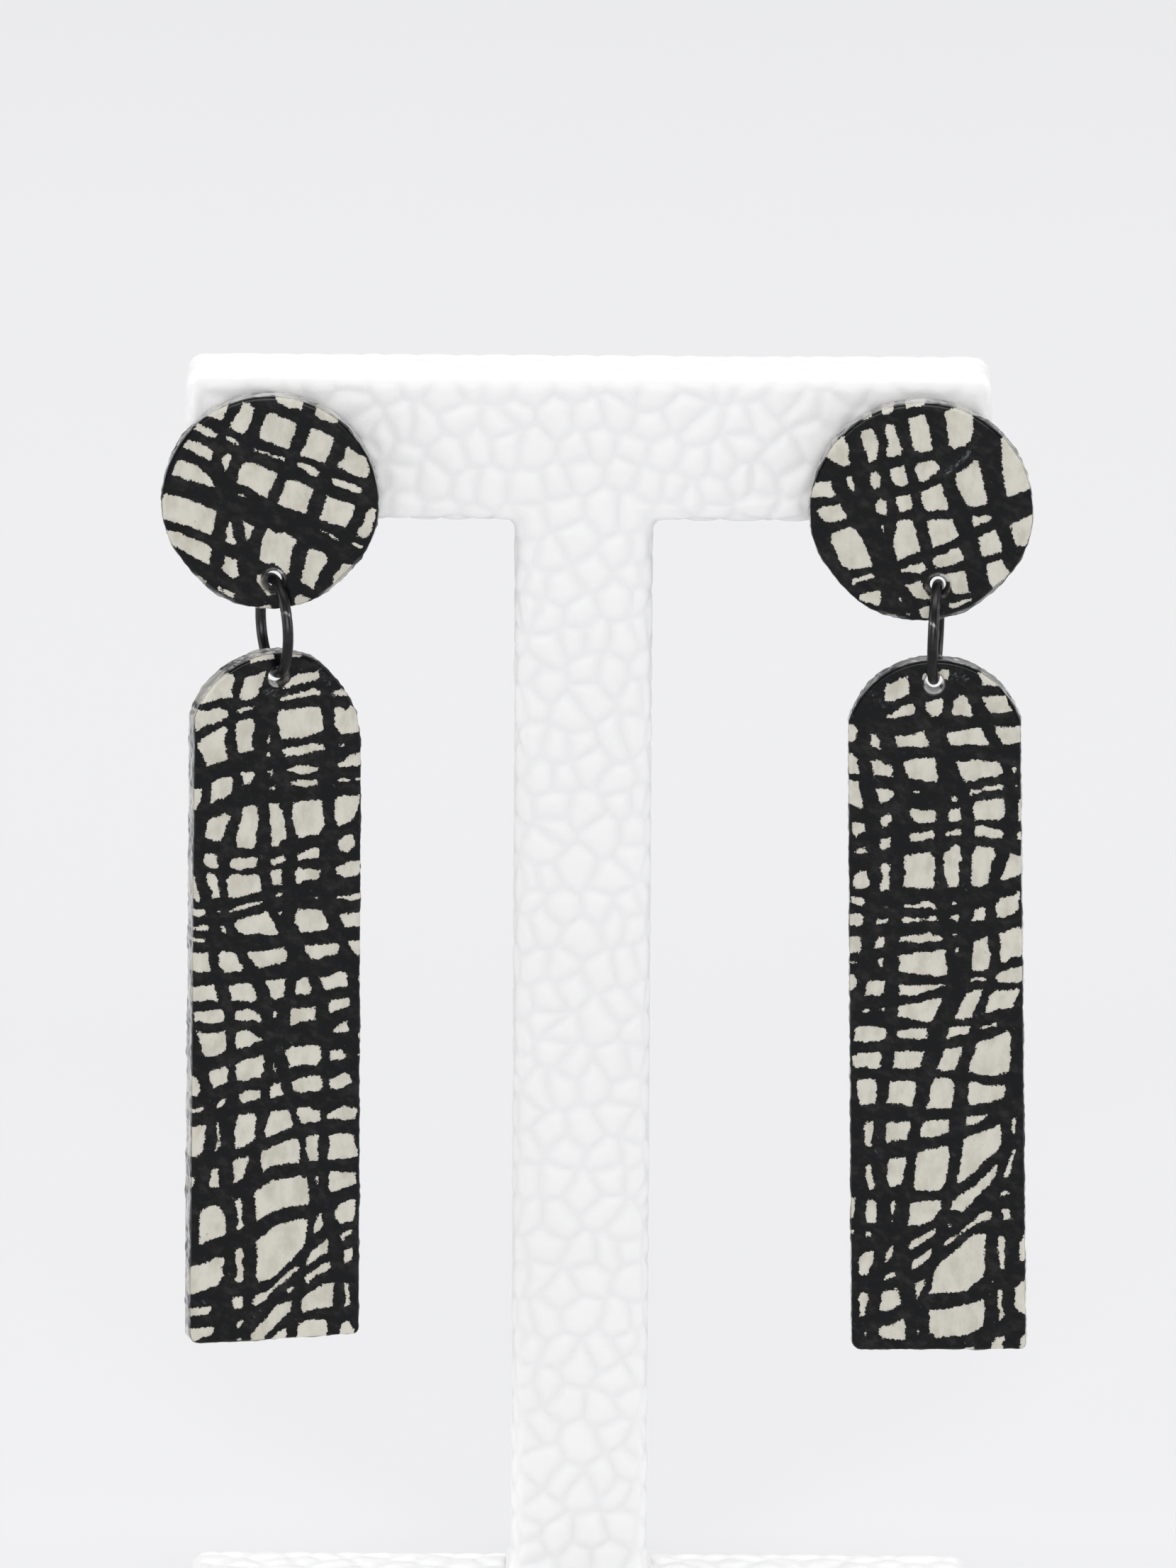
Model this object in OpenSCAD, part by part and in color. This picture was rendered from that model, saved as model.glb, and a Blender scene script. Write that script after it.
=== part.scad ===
// Pair of dangle earrings on a T-shaped display stand, in millimetres.
// +Z is up, -Y is the front, +X is the viewer's right.
// The origin is the centre of the base's underside.

/* [Stand] */
// Width of the base
base_w = 66; // [60:0.5:76]
// Depth of the base, front to back
base_d = 44; // [38:0.5:60]
// Thickness of the base
base_t = 8; // [7:0.5:10]
// Height of the whole stand
stand_h = 112.3; // [110:0.1:125]
// Width of the crossbar
bar_w = 67; // [64:0.5:74]
// Height of the crossbar
bar_h = 12.8; // [12:0.1:14]
// How far the crossbar sits to the right of the post's centre
bar_shift = 0.4; // [0:0.1:1]
// Width of the post
post_w = 11.6; // [10:0.1:13]
// Depth of the crossbar and the post
tee_d = 9; // [8:0.25:11]
// How far the back of the upright stays inside the back of the base
back_inset = 1; // [0.5:0.25:3]
// Radius of the padded edges
edge_r = 1.5; // [1:0.1:2]

/* [Plates] */
// Thickness of the discs and the bar drops
plate_t = 2.2; // [1.8:0.1:2.6]
// Diameter of the holes for the jump rings
hole_d = 1.6; // [1.5:0.05:1.8]
// Diameter of the countersink at each end of a hole
sink_d = 2.3; // [2:0.05:2.5]
// Depth of each countersink
sink_depth = 0.4; // [0.3:0.05:0.5]
// Length of a bar drop
drop_l = 59.1; // [50:0.1:66]
// Width of a bar drop at its shoulders
drop_top_w = 14.4; // [13.6:0.1:15]
// Width of a bar drop at its foot
drop_foot_w = 14.75; // [14:0.05:15.5]
// Radius of the arched top of a bar drop
arch_r = 7.6; // [7.6:0.05:8.5]
// Distance from a bar drop's top to the centre of its hole
drop_hole_inset = 2.06; // [1.9:0.02:2.4]

/* [Jump rings] */
// Diameter of the ring's wire
wire_d = 0.9; // [0.8:0.05:0.95]
// Radius of a ring to the centre of its wire
ring_r = 3.95; // [3.8:0.05:4.1]
// How far a ring's wire hangs below the middle of the left disc's hole
left_top_play = 0.09; // [0.05:0.01:0.12]
// How far a ring's wire hangs below the middle of the right disc's hole
right_top_play = 0.22; // [0.1:0.01:0.25]
// How far the middle of a bar drop's hole hangs below the wire
foot_play = 0.22; // [0.1:0.01:0.25]

/* [Ear posts] */
// Diameter of the glue pad
pad_d = 6; // [4:0.5:6]
// Thickness of the glue pad
pad_t = 0.6; // [0.5:0.05:0.8]
// Diameter of the pin
pin_d = 0.8; // [0.7:0.05:0.9]
// Length of the pin, from the pad's back
pin_l = 10.5; // [9.5:0.5:12]
// Diameter of the pin's hole in the crossbar
pin_hole_d = 1; // [1:0.05:1.3]

/* [Left earring] */
// Diameter of the left disc
left_disc_d = 18.1; // [17.6:0.1:19]
// Centre of the left disc, from the middle of the post
left_x = -25.96; // [-26.5:0.02:-25.5]
// Centre of the left disc, below the top of the crossbar
left_drop_below = 10.5; // [10:0.05:11]
// How far the left disc is turned, its hole towards the right
left_turn = 2; // [-5:0.5:14]
// Distance from the left disc's centre to its hole
left_hole_r = 6.6; // [6.2:0.05:6.8]
// Turn of the left ring about the upright axis
left_ring_yaw = 18; // [10:0.5:18]
// Lean of the left ring, its foot towards the right
left_ring_lean = 1.2; // [-2:0.1:2]
// Turn of the left bar drop about the upright axis
left_drop_yaw = 15.5; // [10:0.5:20]
// Lean of the left bar drop, its foot towards the right
left_drop_lean = -0.35; // [-1:0.05:1]

/* [Right earring] */
// Diameter of the right disc
right_disc_d = 18.6; // [17.6:0.1:19]
// Centre of the right disc, from the middle of the post
right_x = 27.93; // [27:0.02:28.5]
// Centre of the right disc, below the top of the crossbar
right_drop_below = 11; // [10:0.05:11.2]
// How far the right disc is turned, its hole towards the right
right_turn = 13; // [-5:0.5:14]
// Distance from the right disc's centre to its hole
right_hole_r = 6.4; // [6.2:0.05:6.8]
// Turn of the right ring about the upright axis
right_ring_yaw = -5; // [-8:0.5:0]
// Lean of the right ring, its foot towards the right
right_ring_lean = -1.4; // [-2:0.1:2]
// Turn of the right bar drop about the upright axis
right_drop_yaw = -1.5; // [-5:0.5:2]
// Lean of the right bar drop, its foot towards the right
right_drop_lean = 1; // [-1:0.05:1.2]

/* [Hidden] */

// Columns of an earring's row
DISC_D = 0;
DISC_X = 1;
DISC_Z = 2;
HOLE_TURN = 3;
HOLE_R = 4;
RING_YAW = 5;
RING_LEAN = 6;
DROP_YAW = 7;
DROP_LEAN = 8;
TOP_PLAY = 9;

LEFT = [
    left_disc_d, left_x, stand_h - left_drop_below, left_turn, left_hole_r,
    left_ring_yaw, left_ring_lean, left_drop_yaw, left_drop_lean, left_top_play,
];
RIGHT = [
    right_disc_d, right_x, stand_h - right_drop_below, right_turn, right_hole_r,
    right_ring_yaw, right_ring_lean, right_drop_yaw, right_drop_lean, right_top_play,
];

// Depth places: the upright stands near the back of the base, the plates hang in front of it
tee_back_y = base_d / 2 - back_inset;
tee_front_y = tee_back_y - tee_d;
disc_back_y = tee_front_y - pad_t;
plate_mid_y = disc_back_y - plate_t / 2;
pin_z = stand_h - bar_h / 2;
shoulder_drop = arch_r - sqrt(arch_r * arch_r - drop_top_w * drop_top_w / 4);

// Centre of the hole in an earring's disc
function hole_x(e) = e[DISC_X] + e[HOLE_R] * sin(e[HOLE_TURN]);
function hole_z(e) = e[DISC_Z] - e[HOLE_R] * cos(e[HOLE_TURN]);

round_steps = 32;
overlap = 0.5;

// A padded box between two corners, with a flat underside where flat_foot is true
module padded_box(low, high, flat_foot) {
    hull() {
        for (x = [low.x + edge_r, high.x - edge_r], y = [low.y + edge_r, high.y - edge_r]) {
            translate([x, y, high.z - edge_r]) sphere(r = edge_r, $fn = round_steps);
            if (flat_foot)
                translate([x, y, low.z]) cylinder(r = edge_r, h = edge_r, $fn = round_steps);
            else
                translate([x, y, low.z + edge_r]) sphere(r = edge_r, $fn = round_steps);
        }
    }
}

// A cylinder that runs along Y from y = start, towards the back
module rod_y(x, start, z, d, length) {
    translate([x, start, z]) rotate([-90, 0, 0]) cylinder(d = d, h = length, $fn = 48);
}

// A drilled hole through a plate that lies in the XZ plane and is centred on y = 0
module drilled_hole() {
    rotate([90, 0, 0]) {
        cylinder(d = hole_d, h = 2 * plate_t, center = true, $fn = 48);
        for (side = [0, 1])
            mirror([0, 0, side])
                translate([0, 0, plate_t / 2 - sink_depth])
                    cylinder(d1 = hole_d, d2 = sink_d, h = sink_depth, $fn = 48);
    }
}

module stand_base() {
    color("white")
        padded_box([-base_w / 2, -base_d / 2, 0], [base_w / 2, base_d / 2, base_t], true);
}

module stand_tee() {
    color("white")
        difference() {
            union() {
                padded_box(
                    [bar_shift - bar_w / 2, tee_front_y, stand_h - bar_h],
                    [bar_shift + bar_w / 2, tee_back_y, stand_h],
                    false
                );
                padded_box(
                    [-post_w / 2, tee_front_y, base_t],
                    [post_w / 2, tee_back_y, stand_h - edge_r / 2],
                    true
                );
            }
            for (e = [LEFT, RIGHT])
                rod_y(e[DISC_X], tee_front_y - overlap, pin_z, pin_hole_d, tee_d + 2 * overlap);
        }
}

module stud_disc(e) {
    color("ivory")
        difference() {
            rod_y(e[DISC_X], disc_back_y - plate_t, e[DISC_Z], e[DISC_D], plate_t);
            translate([hole_x(e), plate_mid_y, hole_z(e)]) drilled_hole();
        }
}

module ear_post(e) {
    color("silver")
        union() {
            rod_y(e[DISC_X], disc_back_y, pin_z, pad_d, pad_t);
            rod_y(e[DISC_X], disc_back_y, pin_z, pin_d, pad_t + pin_l);
        }
}

module jump_ring(e) {
    color("dimgray")
        translate([hole_x(e), plate_mid_y, hole_z(e)])
            rotate([0, -e[RING_LEAN], 0])
                translate([0, 0, -e[TOP_PLAY] - ring_r])
                    rotate([0, 0, e[RING_YAW]])
                        rotate([0, 90, 0])
                            rotate_extrude($fn = 64)
                                translate([ring_r, 0]) circle(d = wire_d, $fn = 24);
}

// Front outline of a bar drop, its top at the origin
module drop_outline() {
    difference() {
        polygon([
            [-drop_top_w / 2, 0],
            [drop_top_w / 2, 0],
            [drop_top_w / 2, -shoulder_drop],
            [drop_foot_w / 2, -drop_l],
            [-drop_foot_w / 2, -drop_l],
            [-drop_top_w / 2, -shoulder_drop],
        ]);
        difference() {
            translate([-drop_top_w, -shoulder_drop - overlap])
                square([2 * drop_top_w, shoulder_drop + 2 * overlap]);
            translate([0, -arch_r]) circle(r = arch_r, $fn = 96);
        }
    }
}

module bar_drop(e) {
    color("ivory")
        translate([hole_x(e), plate_mid_y, hole_z(e)])
            rotate([0, -e[RING_LEAN], 0])
                translate([0, 0, -e[TOP_PLAY] - 2 * ring_r - foot_play])
                    rotate([0, e[RING_LEAN] - e[DROP_LEAN], e[DROP_YAW]])
                        difference() {
                            rotate([90, 0, 0])
                                translate([0, drop_hole_inset, -plate_t / 2])
                                    linear_extrude(plate_t) drop_outline();
                            drilled_hole();
                        }
}

stand_base();
stand_tee();
stud_disc(LEFT);  // stud_disc_left
stud_disc(RIGHT);  // stud_disc_right
ear_post(LEFT);  // ear_post_left
ear_post(RIGHT);  // ear_post_right
jump_ring(LEFT);  // jump_ring_left
jump_ring(RIGHT);  // jump_ring_right
bar_drop(LEFT);  // drop_left
bar_drop(RIGHT);  // drop_right
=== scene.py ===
"""Dresses a pair of dangle earrings and their T-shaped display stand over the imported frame.

Sizes are in millimetres and follow the part's source; meshes are placed in metres.
+Z is up and -Y is the front.
"""

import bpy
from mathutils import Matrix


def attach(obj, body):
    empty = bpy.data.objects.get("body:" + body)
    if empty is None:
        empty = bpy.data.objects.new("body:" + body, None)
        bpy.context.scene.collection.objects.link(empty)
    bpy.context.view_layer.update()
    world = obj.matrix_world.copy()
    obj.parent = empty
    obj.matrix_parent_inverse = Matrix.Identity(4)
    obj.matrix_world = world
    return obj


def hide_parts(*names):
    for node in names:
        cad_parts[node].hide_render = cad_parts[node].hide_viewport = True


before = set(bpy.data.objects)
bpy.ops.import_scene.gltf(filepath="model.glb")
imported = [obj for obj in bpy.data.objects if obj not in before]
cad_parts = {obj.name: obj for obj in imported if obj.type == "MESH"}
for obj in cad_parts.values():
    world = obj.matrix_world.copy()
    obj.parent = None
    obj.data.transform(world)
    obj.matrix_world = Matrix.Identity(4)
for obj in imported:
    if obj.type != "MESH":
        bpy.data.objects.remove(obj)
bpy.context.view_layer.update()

import logging
import math
from dataclasses import dataclass, field
from enum import Enum
from typing import Any, Callable, Iterable, Mapping, Optional, Sequence, Tuple, Union

import bmesh
import bpy
import numpy as np
from mathutils import Matrix, Vector, noise

LOG = logging.getLogger("earrings")
MM = 0.001
WELD = 1e-4
NEAR = 1e-3
TINY = 1e-9
ENDLESS = 1e9
NOISE_MIDDLE = 0.5
MIX_FIRST, MIX_SECOND, MIX_RESULT = 6, 7, 2

Pair = Tuple[float, float]
Triple = Tuple[float, float, float]
Colour = Triple
Windows = Tuple[Tuple[int, ...], ...]
Scuff = Tuple[float, float, float, float, float, float]
Value = Union[float, "Sock"]
Geom = Sequence[Union[bmesh.types.BMVert, bmesh.types.BMEdge]]


class Side(Enum):
    """Which of the two earrings, as the viewer sees them."""

    LEFT = "left"
    RIGHT = "right"


class Slot(Enum):
    """The record's material slots."""

    COVER = "white_leatherette"
    PLATE = "varnished_plate"
    WIRE = "dark_wire"
    STEEL = "post_steel"


@dataclass(frozen=True)
class Grain:
    """One fractal noise of a finish, read from coordinates in millimetres.

    The stretch is along X, Y and Z, the turn is about Y in degrees, and a band turns the
    noise into a smooth step between its two values.
    """

    scale: float
    detail: float = 2.0
    roughness: float = 0.5
    stretch: Triple = (1.0, 1.0, 1.0)
    turn: float = 0.0
    band: Optional[Pair] = None


class Sock:
    """A shader value on which the usual operators work, each adding one Math node."""

    def __init__(self, graph: "Graph", socket: bpy.types.NodeSocket) -> None:
        """Keeps the graph and the wrapped socket."""
        self.graph = graph
        self.socket = socket

    def _math(self, operation: str, first: Value, second: Value) -> "Sock":
        """Adds one Math node."""
        return self.graph.node("ShaderNodeMath", {"operation": operation}, {0: first, 1: second})

    def __add__(self, other: Value) -> "Sock":
        """self + other."""
        return self._math("ADD", self, other)

    def __radd__(self, other: Value) -> "Sock":
        """other + self."""
        return self._math("ADD", other, self)

    def __sub__(self, other: Value) -> "Sock":
        """self - other."""
        return self._math("SUBTRACT", self, other)

    def __rsub__(self, other: Value) -> "Sock":
        """other - self."""
        return self._math("SUBTRACT", other, self)

    def __mul__(self, other: Value) -> "Sock":
        """self * other."""
        return self._math("MULTIPLY", self, other)

    def __rmul__(self, other: Value) -> "Sock":
        """other * self."""
        return self._math("MULTIPLY", other, self)

    def step(self, low: float, high: float) -> "Sock":
        """Rises smoothly from 0 to 1 as the value goes from low to high.

        Args:
            low: Where the rise starts.
            high: Where it ends.

        Returns:
            The smoothed step.
        """
        return self.graph.node(
            "ShaderNodeMapRange",
            {"interpolation_type": "SMOOTHSTEP"},
            {"Value": self, "From Min": low, "From Max": high},
        )


class Graph:
    """The node tree of one material, with a Principled shader at its end."""

    def __init__(self, name: str) -> None:
        """Starts an empty material.

        Args:
            name: The material's name.
        """
        self.material = bpy.data.materials.new(name)
        self.material.use_nodes = True
        self.tree = self.material.node_tree
        self.tree.nodes.clear()

    def node(
        self,
        kind: str,
        settings: Optional[Mapping[str, Any]] = None,
        inputs: Optional[Mapping[Union[int, str], Any]] = None,
        output: Union[int, str] = 0,
    ) -> Sock:
        """Adds one node.

        Args:
            kind: The node's type.
            settings: Properties of the node, set before its sockets.
            inputs: Values or links for its input sockets.
            output: Which output to hand back.

        Returns:
            The chosen output.
        """
        made = self.tree.nodes.new(kind)
        for key, value in (settings or {}).items():
            setattr(made, key, value)
        for key, value in (inputs or {}).items():
            if isinstance(value, Sock):
                self.tree.links.new(value.socket, made.inputs[key])
            else:
                made.inputs[key].default_value = value
        return Sock(self, made.outputs[output])

    def noise(self, grain: Grain) -> Sock:
        """Fractal noise between 0 and 1 on the piece's Object coordinates.

        Args:
            grain: The noise's sizes.

        Returns:
            The noise, or its smooth step where the grain has a band.
        """
        where = self.node("ShaderNodeMapping", {"vector_type": "TEXTURE"}, {
            "Vector": self.node("ShaderNodeTexCoord", output="Object"),
            "Rotation": (0.0, math.radians(grain.turn), 0.0),
            "Scale": tuple(MM / factor for factor in grain.stretch),
        })
        value = self.node("ShaderNodeTexNoise", {"noise_dimensions": "3D"}, {
            "Vector": where,
            "Scale": grain.scale,
            "Detail": grain.detail,
            "Roughness": grain.roughness,
        }, "Fac")
        return value.step(*grain.band) if grain.band else value

    def attribute(self, name: str) -> Sock:
        """A value stored on the mesh's points."""
        return self.node("ShaderNodeAttribute", {"attribute_name": name}, output="Fac")

    def mix(self, factor: Value, first: Any, second: Any) -> Sock:
        """Mixes two colours.

        Args:
            factor: 0 gives the first colour, 1 the second.
            first: A colour or a link.
            second: A colour or a link.

        Returns:
            The mixed colour.
        """
        colours = {
            key: colour if isinstance(colour, Sock) else (*colour, 1.0)
            for key, colour in ((MIX_FIRST, first), (MIX_SECOND, second))
        }
        return self.node(
            "ShaderNodeMix", {"data_type": "RGBA"}, {0: factor, **colours}, MIX_RESULT
        )

    def bump(
        self, height: Sock, depth: float, strength: float, under: Optional[Sock] = None
    ) -> Sock:
        """A bumped normal.

        Args:
            height: Height between 0 and 1.
            depth: What a height of 1 stands for, in millimetres.
            strength: Strength of the bump.
            under: A normal that this bump is laid over.

        Returns:
            The normal.
        """
        inputs = {"Height": height, "Distance": depth * MM, "Strength": strength}
        if under is not None:
            inputs["Normal"] = under
        return self.node("ShaderNodeBump", None, inputs)

    def finish(self, inputs: Mapping[str, Any]) -> bpy.types.Material:
        """Ends the tree in a Principled shader.

        Args:
            inputs: Values or links for the shader's sockets.

        Returns:
            The finished material.
        """
        shader = self.node("ShaderNodeBsdfPrincipled", None, inputs)
        last = self.tree.nodes.new("ShaderNodeOutputMaterial")
        self.tree.links.new(shader.socket, last.inputs["Surface"])
        return self.material


@dataclass(frozen=True)
class Leatherette:
    """White pebbled leatherette, with painted shade that darkens the grooves between its pebbles.

    A bump is a depth in millimetres and a strength.
    """

    name: str = "white_leatherette"
    pebble: Colour = (0.842, 0.842, 0.845)
    # painted shade: the colour that the grooves are darkened towards
    groove: Colour = (0.798, 0.798, 0.804)
    dulled: Colour = (0.70, 0.70, 0.70)
    dulling: float = 0.10
    clouds: Grain = Grain(0.09, 3.0, band=(0.35, 0.75))
    fine: Grain = Grain(3.2, 3.0, 0.6)
    fine_bump: Pair = (0.05, 0.45)
    fine_roughness: float = 0.10
    groove_roughness: float = 0.16
    roughness: float = 0.42
    specular: float = 0.35

    def material(self) -> bpy.types.Material:
        """Builds the finish.

        Returns:
            The material.
        """
        g = Graph(self.name)
        depth, fine = g.attribute("groove"), g.noise(self.fine)
        # painted shade: the groove mask darkens the pebble colour towards each groove
        shade = g.mix(depth, self.pebble, self.groove)
        worn = self.roughness + self.groove_roughness * depth
        return g.finish({
            "Base Color": g.mix(g.noise(self.clouds) * self.dulling, shade, self.dulled),
            "Roughness": worn + (fine - NOISE_MIDDLE) * self.fine_roughness,
            "Normal": g.bump(fine, *self.fine_bump),
            "Specular IOR Level": self.specular,
        })


@dataclass(frozen=True)
class VarnishedPrint:
    """Black crosshatch on a cream ground under clear, uneven varnish.

    A share is how much of a colour shows at most. A cover is what always shows, and what
    comes on top where the varnish is clear, smoky or glassy. An edge is where a step starts
    and where it ends. A line of painted shade runs where the rim starts to round, and the hole
    carries a painted glint.
    """

    name: str
    ink: Colour = (0.0032, 0.0036, 0.0042)
    worn_ink: Colour = (0.021, 0.020, 0.021)
    flecked_ink: Colour = (0.085, 0.09, 0.092)
    scuffed_ink: Colour = (0.13, 0.14, 0.145)
    cream: Colour = (0.600, 0.580, 0.512)
    aged_cream: Colour = (0.425, 0.400, 0.335)
    dusty_cream: Colour = (0.20, 0.18, 0.15)
    cream_near_ink: Colour = (0.30, 0.29, 0.27)
    varnish: Colour = (0.40, 0.40, 0.395)
    smoky_varnish: Colour = (0.045, 0.046, 0.050)
    resin: Colour = (0.050, 0.047, 0.042)
    clear_resin: Colour = (0.30, 0.29, 0.27)
    # painted highlight: the colour of the glint painted in the hole
    painted_glint: Colour = (0.90, 0.90, 0.90)
    tears: Grain = Grain(2.1, 1.0, 0.6)
    frays: Grain = Grain(6.5, 1.0)
    blotches: Grain = Grain(0.8, 5.0, 0.68, (1.0, 1.0, 1.5), 24.0, (0.44, 0.76))
    flecks: Grain = Grain(2.6, 2.0, 0.7, (1.0, 1.0, 0.35), -38.0, (0.69, 0.78))
    scratches: Grain = Grain(3.4, 3.0, 0.8, (1.0, 1.0, 0.5), 52.0, (0.50, 0.66))
    mottles: Grain = Grain(0.55, 5.0, 0.62, (1.3, 1.0, 0.8), band=(0.36, 0.74))
    dust: Grain = Grain(2.9, 1.0, band=(0.76, 0.80))
    clouds: Grain = Grain(0.8, 4.0, 0.62, (0.6, 2.4, 0.6), band=(0.40, 0.62))
    glass: Grain = Grain(1.0, 2.0, band=(0.42, 0.66))
    swell: Grain = Grain(0.42, 2.0)
    tear_width: float = 0.34
    fray_width: float = 0.32
    thicken: float = 0.03
    ink_edge: Pair = (-0.035, 0.035)
    near_ink_band: Pair = (-0.22, 0.0)
    fleck_share: float = 0.5
    mottle_share: float = 0.75
    dust_share: float = 0.4
    near_ink_share: float = 0.10
    rim_cover: Pair = (0.55, 0.35)
    dark_rim_cover: float = 0.85
    # painted shade: a dark line where the rim starts to round, for the shadow and refraction there
    rim_shade_rise: Pair = (0.02, 0.22)
    rim_shade_fall: Pair = (0.30, 0.80)
    rim_shade_cover: Pair = (0.35, 0.45)
    glint_edge: Pair = (0.25, 0.75)
    glint_cover: Pair = (0.75, 0.25)
    torn_bump: Pair = (0.03, 0.25)
    ink_height: float = 0.6
    swell_bump: Pair = (0.10, 0.35)
    roughness: float = 0.13
    ink_roughness: float = 0.05
    worn_roughness: float = 0.25
    swell_roughness: float = 0.10
    specular: float = 0.17
    coat: float = 0.9
    coat_roughness: float = 0.08

    def _inked(self, g: Graph, fleck: Sock, scuff: Sock) -> Sock:
        """The ink's colour.

        Args:
            g: The material's graph.
            fleck: Where the ink is flecked.
            scuff: Where it is scuffed.

        Returns:
            The colour.
        """
        ink = g.mix(g.noise(self.blotches), self.ink, self.worn_ink)
        ink = g.mix(fleck * self.fleck_share, ink, self.flecked_ink)
        return g.mix(scuff, ink, self.scuffed_ink)

    def _ground(self, g: Graph, edge: Sock) -> Sock:
        """The cream ground's colour.

        Args:
            g: The material's graph.
            edge: Distance to the ink's edge, below zero on the ground.

        Returns:
            The colour.
        """
        cream = g.mix(g.noise(self.mottles) * self.mottle_share, self.cream, self.aged_cream)
        cream = g.mix(g.noise(self.dust) * self.dust_share, cream, self.dusty_cream)
        # darkens the cream a little along the ink's edges
        return g.mix(edge.step(*self.near_ink_band) * self.near_ink_share, cream, self.cream_near_ink)

    def _varnished(self, g: Graph, rim: Sock, face: Sock) -> Sock:
        """Lays the thick varnish of the rim over the print, with a line of painted shade where the
        rim starts to round.

        Args:
            g: The material's graph.
            rim: Where the rim is.
            face: The print's colour.

        Returns:
            The colour.
        """
        clear = g.noise(self.clouds) * (1.0 - self.dark_rim_cover * g.attribute("dark_rim"))
        varnish = g.mix(clear, self.smoky_varnish, self.varnish)
        least, more = self.rim_cover
        face = g.mix(rim * (least + more * clear), face, varnish)
        # painted shade: darkens a thin line where the rim starts to round
        rim_shade_line = rim.step(*self.rim_shade_rise) * (1.0 - rim.step(*self.rim_shade_fall))
        least, more = self.rim_shade_cover
        return g.mix(rim_shade_line * (least + more * (1.0 - clear)), face, self.smoky_varnish)

    def _lined(self, g: Graph) -> Sock:
        """The colour of the varnish in the hole, with a painted glint.

        Args:
            g: The material's graph.

        Returns:
            The colour.
        """
        glassy = g.noise(self.glass)
        least, more = self.glint_cover
        # painted highlight: the glint mask brightens the varnish in the hole
        glint = g.attribute("glint").step(*self.glint_edge) * (least + more * glassy)
        return g.mix(glint, g.mix(glassy, self.resin, self.clear_resin), self.painted_glint)

    def material(self) -> bpy.types.Material:
        """Builds the finish.

        Returns:
            The material.
        """
        g = Graph(self.name)
        rim, sink = g.attribute("rim"), g.attribute("sink")
        torn = g.noise(self.tears) - NOISE_MIDDLE
        frayed = g.noise(self.frays) - NOISE_MIDDLE
        edge = g.attribute("ink") + torn * self.tear_width + frayed * self.fray_width + self.thicken
        inked = edge.step(*self.ink_edge)
        fleck, swell = g.noise(self.flecks), g.noise(self.swell)
        scuff = g.attribute("scuff") * g.noise(self.scratches)
        face = g.mix(inked, self._ground(g, edge), self._inked(g, fleck, scuff))
        rough = self.roughness + inked * self.ink_roughness + (fleck + scuff) * self.worn_roughness
        relief = g.bump(torn + inked * self.ink_height, *self.torn_bump)
        return g.finish({
            "Base Color": g.mix(sink, self._varnished(g, rim, face), self._lined(g)),
            "Roughness": rough + (swell - NOISE_MIDDLE) * self.swell_roughness,
            "Normal": g.bump(swell, *self.swell_bump, relief),
            "Specular IOR Level": self.specular,
            "Coat Weight": (rim + sink) * self.coat,
            "Coat Roughness": self.coat_roughness,
        })


@dataclass(frozen=True)
class Metal:
    """Bare or plated metal with fine lines, duller in patches."""

    name: str
    body: Colour
    worn: Colour
    metallic: float
    roughness: float
    lines: Grain
    line_roughness: float
    line_bump: Pair
    patches: Grain

    def colour(self, g: Graph) -> Sock:
        """The metal's colour, worn in patches."""
        return g.mix(g.noise(self.patches), self.body, self.worn)

    def material(self) -> bpy.types.Material:
        """Builds the finish.

        Returns:
            The material.
        """
        g = Graph(self.name)
        lines = g.noise(self.lines)
        return g.finish({
            "Base Color": self.colour(g),
            "Metallic": self.metallic,
            "Roughness": self.roughness + (lines - NOISE_MIDDLE) * self.line_roughness,
            "Normal": g.bump(lines, *self.line_bump),
        })


@dataclass(frozen=True)
class DarkWire(Metal):
    """Dark plated wire with fine drawing lines, and a painted glint on the cut where the ring's
    ends meet.
    """

    name: str = "dark_wire"
    body: Colour = (0.019, 0.019, 0.020)
    worn: Colour = (0.047, 0.046, 0.048)
    metallic: float = 0.85
    roughness: float = 0.34
    lines: Grain = Grain(0.9, 3.0, 0.6, (6.0, 1.2, 1.2))
    line_roughness: float = 0.22
    line_bump: Pair = (0.02, 0.35)
    patches: Grain = Grain(0.33, 3.0, band=(0.42, 0.66))
    # painted highlight: the colour of the glint painted on the cut
    cut: Colour = (0.30, 0.30, 0.30)

    def colour(self, g: Graph) -> Sock:
        """The wire's colour, with a painted glint on the cut."""
        return g.mix(g.attribute("joint_glint"), super().colour(g), self.cut)


@dataclass(frozen=True)
class PostSteel(Metal):
    """Plain turned steel, faintly ringed by the lathe."""

    name: str = "post_steel"
    body: Colour = (0.62, 0.62, 0.63)
    worn: Colour = (0.44, 0.44, 0.45)
    metallic: float = 1.0
    roughness: float = 0.28
    lines: Grain = Grain(1.2, 2.0, 0.5, (0.3, 7.0, 0.3))
    line_roughness: float = 0.18
    line_bump: Pair = (0.01, 0.3)
    patches: Grain = Grain(0.8, 3.0, band=(0.42, 0.75))


@dataclass(frozen=True)
class StudioPaper:
    """Pale matt paper under and behind the stand."""

    name: str = "studio_paper"
    paper: Colour = (0.674, 0.674, 0.683)
    shading: float = 0.98
    fibre: Grain = Grain(0.8, 4.0)
    fibre_strength: float = 0.04
    roughness: float = 0.9
    specular: float = 0.1

    def material(self) -> bpy.types.Material:
        """Builds the finish.

        Returns:
            The material.
        """
        g = Graph(self.name)
        shaded = tuple(self.shading * part for part in self.paper)
        fibre = (g.noise(self.fibre) - NOISE_MIDDLE) * self.fibre_strength
        return g.finish({
            "Base Color": g.mix(fibre + NOISE_MIDDLE, self.paper, shaded),
            "Roughness": self.roughness,
            "Specular IOR Level": self.specular,
        })


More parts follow.
